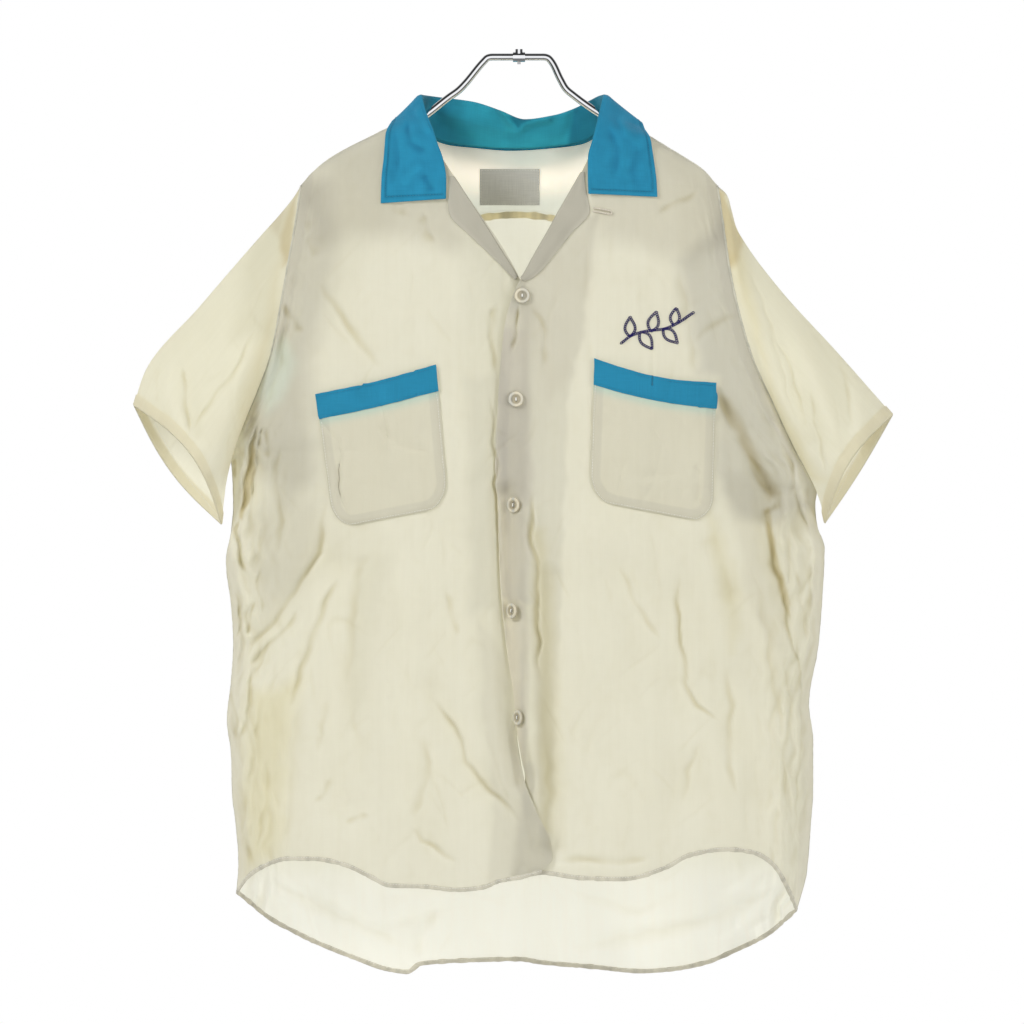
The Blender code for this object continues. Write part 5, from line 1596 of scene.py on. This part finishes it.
def collar_grid():
    """Sections of the collar, from the right leaf's lower edge round the neck to the left one's."""
    neck = []
    for row in COLLAR:
        fold, edge = np.array(row.fold, float), np.array(row.edge, float)
        half = LEFT if fold[0] > 0 else RIGHT
        x, z = row.seam
        seam_y = 0 if abs(fold[1]) < 2 else back_y(x, z) if fold[1] > 0 else front_y(half, x, z)
        if fold[1] > 10:
            edge[1] = max(edge[1], on_back(edge[[0, 2]], LAYER + BACK_LIFT)[1])
        neck.append(rolled(np.array([x, float(seam_y), z]), fold, edge, row.roll))
    table = np.array(leaf_rows(RIGHT, RIGHT_LEAF) + neck + leaf_rows(LEFT, LEFT_LEAF)[::-1])
    place = lengths(table[:, 3])
    even = shares(COLLAR_SECTIONS, 0.004) * place[-1]
    across = np.concatenate([np.linspace(0, 2, 24)[:-1], np.linspace(2, 4, 12)[:-1],
                             np.linspace(4, 7.7, 30), [7.8, 7.88, 7.94, 7.98, 8]])
    sections = curves(place, table, even).transpose(1, 0, 2)
    return curves(np.arange(9), sections, across).transpose(1, 0, 2), across


def clear_of_front(grid, least):
    """Moves points out where they lie closer to the front than cloth on top of it can."""
    for half in (LEFT, RIGHT):
        own = (grid[..., 0] * half.sign > 0) & (grid[..., 1] < -6)
        grid[own, 1] = np.minimum(grid[own, 1], on_front(half, grid[own][:, [0, 2]], least)[:, 1])
    return grid


class SHIRT_OT_collar(bpy.types.Operator):
    """Builds the camp collar with its topstitching"""

    bl_idname = "shirt.collar"
    bl_label = "Collar"

    def execute(self, context):
        thick = context.scene.shirt_cloth.collar / MM
        grid, across = collar_grid()
        outer = across > 4
        wave = 1.25 * creases(LEAF_CREASES, *xz(grid), 87) * (grid[..., 1] < -5)
        fall = clear_of_front(grid[:, outer], LAYER + ON_TOP / 2)
        for height, bump, seed in ((0.25, 4.5, 44), (0.3, 9, 45), (0.4, 16, 41)):
            fall[..., 1] -= height * noise(*xz(fall), bump, seed)
        fall[..., 1] -= wave[:, outer]
        grid[:, outer] = clear_of_front(fall, 1.5)
        x, z = xz(grid)
        stand = grid[..., 1] > 20
        grid[..., 1] -= folds(COLLAR_FOLDS, x, z) * stand * smooth_step(0, 1.5, across)
        uv, width = arc_uv(grid), widths(grid)
        run, far = uv[:, 0, 1], width[:, -1] - COLLAR_STITCH
        inner = 1 - smooth_step(2.6, 3.4, across)
        # Painted shade on the inner face towards both sides, and painted light over all of it
        shade = 0.4 * smooth_step(-28, -80, x + 4 * noise(x, z, 20, 88))
        shade += 0.42 * smooth_step(-1, 5, x - 50 - 0.15 * (z + 53))
        tint = toned(COLLAR_INNER_LIGHT, inner) * (1 - (shade * inner)[..., None] * (1.05, 1.0, 0.85))
        # Painted light and shade of the zones on the inner face
        tint *= 1 + (zone_tints(COLLAR_LIGHT_SHADE_ZONES, x, z) - 1) * inner[:, None]
        to_edge = np.minimum(width[:, -1:] - width, np.minimum(run, run[-1] - run)[:, None])
        # Painted shade along the topstitching, in the groove it pulls into the leaves
        groove_shade = np.exp(-(((to_edge - COLLAR_STITCH) / 0.8) ** 2)) * outer
        worn = 0.055 * noise(x, z, 9, 42) + 0.05 * noise(x, z, 24, 43)
        tint *= (1 - 0.34 * groove_shade + worn)[..., None]
        relief = (wave + COLLAR_RELIEF * noise(x, z, 30, 46)) * outer
        # Painted shade in the troughs of the leaves' relief and painted light on its ridges
        tint *= 1 - np.clip((blurred(relief, 60) - relief) / 1.2, -0.6, 1.2)[..., None] * LEAF_TROUGH_SHADE
        obj = piece(shell_mesh("collar_leaves", grid, thick, uv, tint), "teal_weave", None, "collar")
        normal = normals_of(grid)
        if normal[5, -8, 1] > 0:
            normal = -normal
        skin = grid + normal * thick * 0.48
        ends = COLLAR_STITCH, run[-1] - COLLAR_STITCH
        keep = (run >= ends[0]) & (run <= ends[1])
        rows = [[at_width(values, width, far)[keep] for values in (skin, normal)]]
        for end in ends:
            row = int(np.argmin(np.abs(run - end)))
            columns = (across > 4.1) & (width[row] < far[row])
            rows.append((skin[row, columns], normal[row, columns]))
        sewn("collar", rows, obj, "teal_thread")
        return {"FINISHED"}


def at_width(values, width, wanted):
    """Each section's value at its own wanted distance across."""
    return np.array([[np.interp(w, lengths_row, section[:, k]) for k in range(values.shape[2])]
                     for section, lengths_row, w in zip(values, width, wanted)])


LAPEL_ROWS = 90
# Painted shade on the lapels, where the facing lies over the front, a little less towards the outer edge
LAPEL_SHADE, LAPEL_EDGE_SHADE = np.array([0.57, 0.55, 0.515]), np.array([0.62, 0.60, 0.565])


class SHIRT_OT_facings(bpy.types.Operator):
    """Builds the facings turned out as lapels, rolled over the fronts' neck edges"""

    bl_idname = "shirt.facings"
    bl_label = "Lapels"

    def execute(self, context):
        thickness = context.scene.shirt_cloth.facing / MM
        run, across = shares(LAPEL_ROWS, 0.01), shares(34) ** 0.9
        turn = np.linspace(math.pi, 0, 12)[:-1]
        lift = LAYER * (1 - 0.5 * smooth_step(0.45, 1, across)) + 0.5 * np.sin(math.pi * across)
        at_edge = smooth_step(0.72, 1, np.concatenate([0 * turn, across]))
        for side, table in LAPELS.items():
            half = HALVES[side]
            inner, outer = (along([getattr(row, name) for row in table], run) for name in ("inner", "outer"))
            flat = inner[:, None] + (outer - inner)[:, None] * across[:, None]
            laid, low = on_front(half, flat, lift), on_front(half, inner, 0.0)
            out, way = on_front(half, inner, 1.0) - low, unit(laid[:, 1] - laid[:, 0])
            roll = [low + out * LAYER * math.cos(a) - way * math.sin(a) for a in turn]
            grid = np.concatenate([np.stack(roll, axis=1), laid], axis=1)
            # Painted shade, a little lighter towards the outer edge
            tint = LAPEL_SHADE + (LAPEL_EDGE_SHADE - LAPEL_SHADE) * at_edge[:, None]
            if half.sign < 0:
                grid, tint = grid[:, ::-1], tint[::-1]
            tint = tint * (1 + 0.04 * noise(*xz(grid), 20, 49))[..., None]
            mesh = shell_mesh(f"{side}_lapel", grid, thickness, arc_uv(grid), tint)
            obj = piece(mesh, "lined_weave", None, f"facing_{side}")
        return {"FINISHED"}


def pocket_points(pocket, across, down):
    """Grid of (x, z) between shares of a pocket's width and height, with rounded lower corners."""
    corners = np.array([pocket.top_a, pocket.top_b, pocket.low_a, pocket.low_b], float)
    height = np.linalg.norm(corners[2] - corners[0])
    width = np.linalg.norm(corners[1] - corners[0])
    a, b = np.meshgrid(across, down)
    into = np.clip((b - 1) * height / POCKET_CORNER[1] + 1, 0, 1)
    narrow = POCKET_CORNER[0] / width * (1 - np.sqrt(1 - into**2))
    a = 0.5 + (a - 0.5) * (1 - 2 * narrow)
    a, b = a[..., None], b[..., None]
    grid = (1 - b) * ((1 - a) * corners[0] + a * corners[1]) + b * ((1 - a) * corners[2] + a * corners[3])
    grid[..., 1] -= pocket.sag * np.sin(math.pi * a[..., 0]) * (1 - b[..., 0]) ** 2
    return grid


def mouth_lift(across, down):
    """How far a pocket stands off the front, over LAYER, most at its mouth."""
    return MOUTH_LIFT * np.outer(np.clip(1 - down / 0.5, 0, 1) ** 1.5, np.sin(math.pi * across))


# Painted shade on the pockets, where they lie over the front, and more along their turned-in edges; a bluish tint
# along the bands' lower edges
POCKET_SHADE, POCKET_SEAM_SHADE, BAND_EDGE_TINT = (0.81, 0.785, 0.705), (0.92, 0.92, 0.93), (0.78, 0.98, 1.04)
BAND_LIFT = LAYER + ON_TOP + 0.75


class SHIRT_OT_pockets(bpy.types.Operator):
    """Builds the patch pockets with their teal bands and edge stitching"""

    bl_idname = "shirt.pockets"
    bl_label = "Pockets"

    def execute(self, context):
        thick = context.scene.shirt_cloth.facing / MM
        across, down = shares(76, 0.012), np.concatenate([[0.02], np.linspace(0.03, 0.99, 84), [0.996, 1]])
        band_down, run = BAND_SHARE * shares(26, 0.04), np.linspace(0.01, 0.99, 90)
        for side, pocket in POCKETS.items():
            half, name = HALVES[side], f"{side}_pocket"
            points = pocket_points(pocket, across, down)
            x, z = points[..., 0], points[..., 1]
            outline = pocket_points(pocket, shares(60), shares(60))
            to_edge = distance_to(np.concatenate([outline[:, 0], outline[-1], outline[::-1, -1]]), x, z)
            lift = LAYER + ON_TOP + mouth_lift(across, down) - 1 + smooth_step(0, 5, to_edge)
            lift += 0.35 * noise(x, z, 24, 45) * smooth_step(0, 12, to_edge)
            # Painted shade over the pocket and more along its edges
            tint = POCKET_SHADE * toned(POCKET_SEAM_SHADE, 1 - smooth_step(8.5, 10.5, to_edge))
            # Bluish tint along the band's lower edge
            tint *= toned(BAND_EDGE_TINT, np.exp(-((down - BAND_SHARE) / 0.045) ** 2))[:, None]
            mesh = shell_mesh(name, on_front(half, points, lift), thick, points, tint)
            obj = piece(mesh, "lined_weave", None, f"pocket_{side}")
            line = pocket_points(pocket, np.linspace(0.016, 0.984, 90), np.linspace(0.0, 0.986, 90))
            row = np.concatenate([line[:, 0], line[-1, 1:-1], line[::-1, -1]])
            sewn(name, [line_on_front(half, row, LAYER + ON_TOP - 0.5 + thick / 2)], obj)
            points = pocket_points(pocket, across, band_down)
            x, z = points[..., 0], points[..., 1]
            grid = on_front(half, points, BAND_LIFT + mouth_lift(across, band_down) + 0.25 * noise(x, z, 18, 46))
            tint = np.ones_like(grid) * (1 + 0.05 * noise(x, z, 20, 47))[..., None]
            mesh = shell_mesh(f"{name}_band", grid, thick * 1.2, points, tint)
            band = piece(mesh, "teal_weave", None, f"pocket_band_{side}")
            rows = [(pocket_points(pocket, run, [share])[0], mouth_lift(run, np.array([share]))[0])
                    for share in (0.02, BAND_SHARE - 0.016)]
            lines = [line_on_front(half, row, BAND_LIFT + thick * 0.6 + lift) for row, lift in rows]
            sewn(f"{name}_band", lines, band, "teal_thread")
        return {"FINISHED"}


BUTTON_PROFILE = ((0, 0.15), (3.0, 0.15), (3.7, 0.3), (4.3, 0.75), (4.9, 1.05), (5.6, 1.2), (6.3, 1.15),
                  (6.9, 0.9), (7.35, 0.5), (7.6, 0.0), (7.6, -0.4), (7.3, -0.85), (6.7, -1.1), (6.0, -1.2),
                  (0, -1.2))
BUTTON_SIDES = 64
HOLE_R, HOLE_OUT = 1.0, 1.75


def button_mesh(name):
    """A turned pearl button, before its holes are cut."""
    (_, top), *profile, (_, under) = BUTTON_PROFILE
    radius, height = np.array(profile).T[..., None]
    ring = xyz(radius * np.cos(turns(BUTTON_SIDES)), radius * np.sin(turns(BUTTON_SIDES)), height).reshape(-1, 3)
    faces = grid_faces(len(profile), BUTTON_SIDES, True).tolist()
    last = len(ring) - BUTTON_SIDES
    for k in range(BUTTON_SIDES):
        ahead = (k + 1) % BUTTON_SIDES
        faces += [[len(ring), k, ahead], [len(ring) + 1, last + ahead, last + k]]
    return mesh_of(name, np.concatenate([ring, [(0, 0, top), (0, 0, under)]]), faces)


def drilled(mesh):
    """The button's mesh with its two thread holes, one above the other."""
    name, obj = mesh.name, bpy.data.objects.new("blank", mesh)
    bpy.context.scene.collection.objects.link(obj)
    for sign in (1, -1):
        bpy.ops.mesh.primitive_cylinder_add(vertices=20, radius=HOLE_R * MM, depth=8 * MM,
                                            location=(0, sign * HOLE_OUT * MM, 0))
        cutter = bpy.context.object
        cut = obj.modifiers.new("hole", "BOOLEAN")
        cut.operation, cut.solver, cut.object = "DIFFERENCE", "EXACT", cutter
        bpy.context.view_layer.update()
        done = bpy.data.meshes.new_from_object(obj.evaluated_get(bpy.context.evaluated_depsgraph_get()))
        obj.modifiers.clear()
        solid, obj.data = obj.data, done
        bpy.data.meshes.remove(solid)
        bpy.data.objects.remove(cutter)
    bpy.data.objects.remove(obj)
    done.name = name
    done.materials.clear()
    done.shade_smooth()
    done.set_sharp_from_angle(angle=math.radians(40))
    return done


class SHIRT_OT_buttons(bpy.types.Operator):
    """Builds the pearl buttons with their holes and sewing thread"""

    bl_idname = "shirt.buttons"
    bl_label = "Buttons"

    def execute(self, context):
        reach, arc = np.linspace(-BUTTON_R, BUTTON_R, 9), np.linspace(-1, 1, 15)
        for number, button in enumerate(BUTTONS, 1):
            low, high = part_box(f"button_{number}")
            slope = np.polyfit(reach, front_y_plain(LEFT, button.x + reach, np.full(9, float(button.z))), 1)[0]
            turn = math.atan(slope) - math.radians(button.turn)
            place = (Matrix.Translation((low + high) / 2) @ Matrix.Rotation(turn, 4, "Z")
                     @ Matrix.Rotation(math.radians(90), 4, "X"))
            mesh = drilled(button_mesh(f"pearl_button_{number}"))
            radius = np.hypot(*points_of(mesh).T[:2])
            # Painted shade in the dish and round the outer edge
            shade = smooth_step(5.4, 3.8, radius) + 0.8 * smooth_step(7.0, 7.5, radius)
            set_tint(mesh, np.repeat(shade[:, None], 3, axis=1))
            mesh.transform(place)
            obj = piece(mesh, "pearl", None, f"button_{number}")
            rows = [tube_mesh("part", xyz(shift, arc * HOLE_OUT, 1.0 - 1.9 * arc**6), 0.24, 7, (1, 0, 0))
                    for shift in (-0.45, 0.0, 0.45)]
            middle = np.array((low + high) / 2) / MM
            gap = float(front_y(LEFT, middle[0], middle[2])) - middle[1]
            deep = np.linspace(-0.9, -min(max(gap / math.cos(turn), 1.4), 6.5) - 0.2, 12)
            shank = 1.1 + 0.25 * np.cos(np.linspace(0, math.tau, 12))
            rows.append(tube_mesh("part", xyz(0, 0, deep), shank, 12, (1, 0, 0)))
            mesh = joined(f"{mesh.name}_thread", rows)
            mesh.transform(place)
            piece(mesh, "cream_thread", obj)
        return {"FINISHED"}


def front_y_plain(half, x, z):
    """The front without its small creases, which is what the buttons were set on."""
    out, rounding, form = front_form(half, x, z)
    return -out - rounding * form


def joined(name, meshes):
    """One mesh from several, which are then removed."""
    points, faces, done = [], [], 0
    for mesh in meshes:
        points.append(points_of(mesh))
        faces.extend([[v + done for v in face.vertices] for face in mesh.polygons])
        done += len(mesh.vertices)
        bpy.data.meshes.remove(mesh)
    return mesh_of(name, np.concatenate(points), faces)


class SHIRT_OT_label(bpy.types.Operator):
    """Builds the plain woven label inside the back neck"""

    bl_idname = "shirt.label"
    bl_label = "Label"

    def execute(self, context):
        flat = xyz(*np.meshgrid(LABEL_LEFT + LABEL_SIZE[0] * shares(70, 0.02),
                                LABEL_TOP - LABEL_SIZE[1] * shares(44, 0.03)))
        grid = on_back(flat, -1.5 + 0.25 * noise(flat[..., 0], flat[..., 1], 22, 48))
        mesh = shell_mesh("woven_label", grid, 0.6, flat, np.ones_like(grid))
        obj = piece(mesh, "label_weave", None, "label")
        left, right = LABEL_LEFT + LABEL_EDGE, LABEL_LEFT + LABEL_SIZE[0] - LABEL_EDGE
        top, low = LABEL_TOP - LABEL_EDGE, LABEL_TOP - LABEL_SIZE[1] + LABEL_EDGE
        corners = np.array([(left, low), (left, top), (right, top), (right, low), (left, low)], float)
        rows = []
        for a, b in zip(corners, corners[1:]):
            line = a + (b - a) * shares(30)[:, None]
            skin = on_back(line, -1.85)
            rows.append((skin, on_back(line, -2.85) - skin))
        sewn("label", rows, obj, thinner=0.8)
        return {"FINISHED"}


class SHIRT_OT_loop(bpy.types.Operator):
    """Builds the thin sewn loop at the left lapel's corner"""

    bl_idname = "shirt.loop"
    bl_label = "Collar loop"

    def execute(self, context):
        half_width = LOOP_WIDTH / 2 - LOOP_WIRE_R
        straight = LOOP_LENGTH - half_width
        turn, run = np.linspace(math.pi / 2, -math.pi / 2, 24), np.linspace(0, straight, 20)[:-1]
        out, up = np.concatenate([xyz(run, half_width),
                                  xyz(straight + half_width * np.cos(turn), half_width * np.sin(turn)),
                                  xyz(run[::-1], -half_width)]).T
        line = on_front(LEFT, xyz(LOOP_ROOT[0] + out, LOOP_ROOT[1] - half_width + up + out * LOOP_SLANT), 1.3)
        radius = 0.85 * (1 + 0.14 * np.sin(lengths(line) * 2.4))
        piece(tube_mesh("sewn_loop", line, radius, 12), "loop_thread", None, "collar_loop")
        return {"FINISHED"}


# Chain-stitched sprig on the left chest: a stem through points (x, z), and leaves from a base to a tip
STEM = ((97, -276), (108, -268), (122, -264), (138, -262), (152, -256), (167, -246))
Sprout = namedtuple("Sprout", "base tip")
SPROUTS = (
    Sprout((106, -269), (106, -251)),
    Sprout((116, -265), (127, -281)),
    Sprout((126, -264), (131, -246)),
    Sprout((138, -262), (151, -275)),
    Sprout((148, -258), (150, -242)),
)
SPROUT_WIDTH = 0.27


def sprig_lines():
    lines = [along(STEM, shares(80))]
    share = shares(24)
    for sprout in SPROUTS:
        base, tip = np.array(sprout.base, float), np.array(sprout.tip, float)
        way = tip - base
        side = np.array([-way[1], way[0]]) * SPROUT_WIDTH
        bulge = np.sin(math.pi * share ** 0.8)[:, None] * side
        middle = base + way * share[:, None]
        lines.append(np.concatenate([middle + bulge, (middle - bulge)[-2::-1]]))
    return lines


CHAIN_PITCH, CHAIN_WIDTH, CHAIN_THREAD = 2.0, 1.9, 0.42


def chain_mesh(name, half, lines):
    """Chain stitching: links that start inside each other along the lines."""
    turn, sides, links = turns(14), turns(5), []
    for line in lines:
        middle = resampled(xyz(line[:, 0], 0, line[:, 1]), CHAIN_PITCH)[:, [0, 2]]
        ahead = unit(np.gradient(middle, axis=0))
        flat = around(middle, ahead, ahead[:, ::-1] * (-1, 1), CHAIN_PITCH * 0.68 * np.cos(turn),
                      CHAIN_WIDTH / 2 * np.sin(turn) * (1 + 0.35 * np.cos(turn)))
        loop = on_front(half, flat, 0.75 + 0.25 * np.cos(turn))
        tangent = unit(np.roll(loop, -1, axis=1) - np.roll(loop, 1, axis=1))
        across = unit(np.cross(tangent, (0.0, -1.0, 0.0)))
        links.append(around(loop, across, np.cross(across, tangent), CHAIN_THREAD * np.cos(sides),
                            CHAIN_THREAD * np.sin(sides)))
    return copies_mesh(name, np.concatenate(links), grid_faces(15, 5, True) % (14 * 5))


class SHIRT_OT_embroidery(bpy.types.Operator):
    """Builds the chain-stitched sprig on the left chest"""

    bl_idname = "shirt.embroidery"
    bl_label = "Chain stitching"

    def execute(self, context):
        mesh = chain_mesh("chest_sprig", LEFT, sprig_lines())
        piece(mesh, "navy_thread", bpy.data.objects["left_front"])
        return {"FINISHED"}


class SHIRT_OT_hanger(bpy.types.Operator):
    """Builds the bent chrome tube, and gives the sleeve on its top bar the chrome finish"""

    bl_idname = "shirt.hanger"
    bl_label = "Hanger"

    def execute(self, context):
        runs = []
        for half, table, end in ((RIGHT, HANGER_RIGHT, ARM_END[1]), (LEFT, HANGER_LEFT, ARM_END[0])):
            outs = np.linspace(abs(table[-1][0]) + 14, end, 8)
            slopes = shoulder_z(half, outs + 0.5) - shoulder_z(half, outs - 0.5)
            heights = shoulder_z(half, outs) - TUBE_DROP * np.hypot(1, slopes)
            arm = np.concatenate([table, xyz(outs * half.sign, heights)])
            runs.append(xyz(arm[:, 0], 0, arm[:, 1]))
        path = along(np.concatenate([runs[0][::-1], runs[1]]), shares(260))
        piece(tube_mesh("tube_hanger", path, TUBE_R, 32), "chrome_plate", None, "hanger")
        for slot in frame["nodes"]["hanger_fitting"].material_slots:
            slot.material = finishes()["chrome_plate"]
        return {"FINISHED"}


# What the lamps point at, in metres
LIT = (0, 0, -0.45)


class SHIRT_OT_stage(bpy.types.Operator):
    """Builds the floor, the soft studio light and the camera"""

    bl_idname = "shirt.stage"
    bl_label = "Floor, light and camera"

    def execute(self, context):
        scene, sizes = context.scene, context.scene.shirt_stage
        bpy.ops.mesh.primitive_circle_add(vertices=96, radius=4, fill_type="NGON",
                                          location=(0, 0, sizes.floor))
        floor = context.object
        floor.name = "studio_floor"
        floor.data.materials.append(finishes()["studio_floor"])
        floor.visible_glossy = False
        scene.world = scene.world or bpy.data.worlds.new("studio")
        scene.world.use_nodes = True
        tree = scene.world.node_tree
        place = add(tree, "ShaderNodeTexCoord").outputs["Generated"]
        parts = add(tree, "ShaderNodeSeparateXYZ", Vector=place).outputs
        side = sizes.side_light
        strength = summed(tree, ranged(tree, parts["Y"], -0.55, -0.2, sizes.front_light, side),
                          ranged(tree, parts["Y"], 0.25, 0.6, 0, sizes.back_light - side))
        # Plating mirrors a bright window in front, dark walls, a grey floor and a pale back
        mirrored = summed(tree, ranged(tree, parts["Y"], -0.93, -0.8, 1.15, 0.045),
                          ranged(tree, parts["Z"], -0.9, -0.25, 0.2, 0),
                          ranged(tree, parts["Y"], 0.3, 0.65, 0, 0.7))
        rays = add(tree, "ShaderNodeLightPath").outputs
        for kind, seen in (("Is Glossy Ray", mirrored), ("Is Camera Ray", 1.0)):
            strength = add(tree, "ShaderNodeMix", Factor=rays[kind], A=strength, B=seen).outputs[0]
        wire(tree.nodes["Background"], Strength=strength, Color=(1, 1, 1, 1))
        for name, place, size, power in (("key_light", (-3.0, -2.8, 2.0), 1.6, sizes.key),
                                         ("fill_light", (3.4, -2.6, 0.4), 2.2, sizes.key * 0.55)):
            data = bpy.data.lights.new(name, "AREA")
            data.shape, data.size, data.energy = "DISK", size, power
            lamp = bpy.data.objects.new(name, data)
            lamp.location = place
            lamp.visible_glossy = False
            lamp.rotation_euler = (Vector(LIT) - Vector(place)).to_track_quat("-Z", "Y").to_euler()
            scene.collection.objects.link(lamp)
        data = bpy.data.cameras.new("camera")
        data.sensor_width = 36
        data.lens = data.sensor_width * sizes.away / sizes.view
        data.clip_end = 100
        camera = bpy.data.objects.new("camera", data)
        camera.location = (sizes.centre[0], -sizes.away, sizes.centre[1])
        camera.rotation_euler = (math.radians(90), 0, 0)
        scene.collection.objects.link(camera)
        scene.camera = camera
        scene.view_settings.view_transform = "Standard"
        return {"FINISHED"}


STEPS = (SHIRT_OT_fronts, SHIRT_OT_back, SHIRT_OT_sleeves, SHIRT_OT_seams, SHIRT_OT_collar, SHIRT_OT_facings,
         SHIRT_OT_pockets, SHIRT_OT_buttons, SHIRT_OT_label, SHIRT_OT_loop, SHIRT_OT_embroidery,
         SHIRT_OT_hanger, SHIRT_OT_stage)


class SHIRT_PT_panel(bpy.types.Panel):
    """Lists the steps that build the shirt"""

    bl_idname = "SHIRT_PT_panel"
    bl_label = "Bowling shirt"
    bl_space_type = "VIEW_3D"
    bl_region_type = "UI"
    bl_category = "Shirt"

    def draw(self, context):
        for group in (context.scene.shirt_cloth, context.scene.shirt_colours, context.scene.shirt_stage):
            box = self.layout.box()
            for name in group.__annotations__:
                box.prop(group, name)
        for step in STEPS:
            self.layout.operator(step.bl_idname)


GROUPS = {"shirt_cloth": ClothSizes, "shirt_colours": ShirtColours, "shirt_stage": StageSizes}


def register():
    for group in GROUPS.values():
        bpy.utils.register_class(group)
    for step in (*STEPS, SHIRT_PT_panel):
        bpy.utils.register_class(step)
    for name, group in GROUPS.items():
        setattr(bpy.types.Scene, name, bpy.props.PointerProperty(type=group))


def unregister():
    for name in GROUPS:
        delattr(bpy.types.Scene, name)
    for step in (SHIRT_PT_panel, *STEPS[::-1], *GROUPS.values()):
        bpy.utils.unregister_class(step)


def main():
    register()
    for step in STEPS:
        group, name = step.bl_idname.split(".")
        getattr(getattr(bpy.ops, group), name)()


if __name__ == "__main__":
    main()
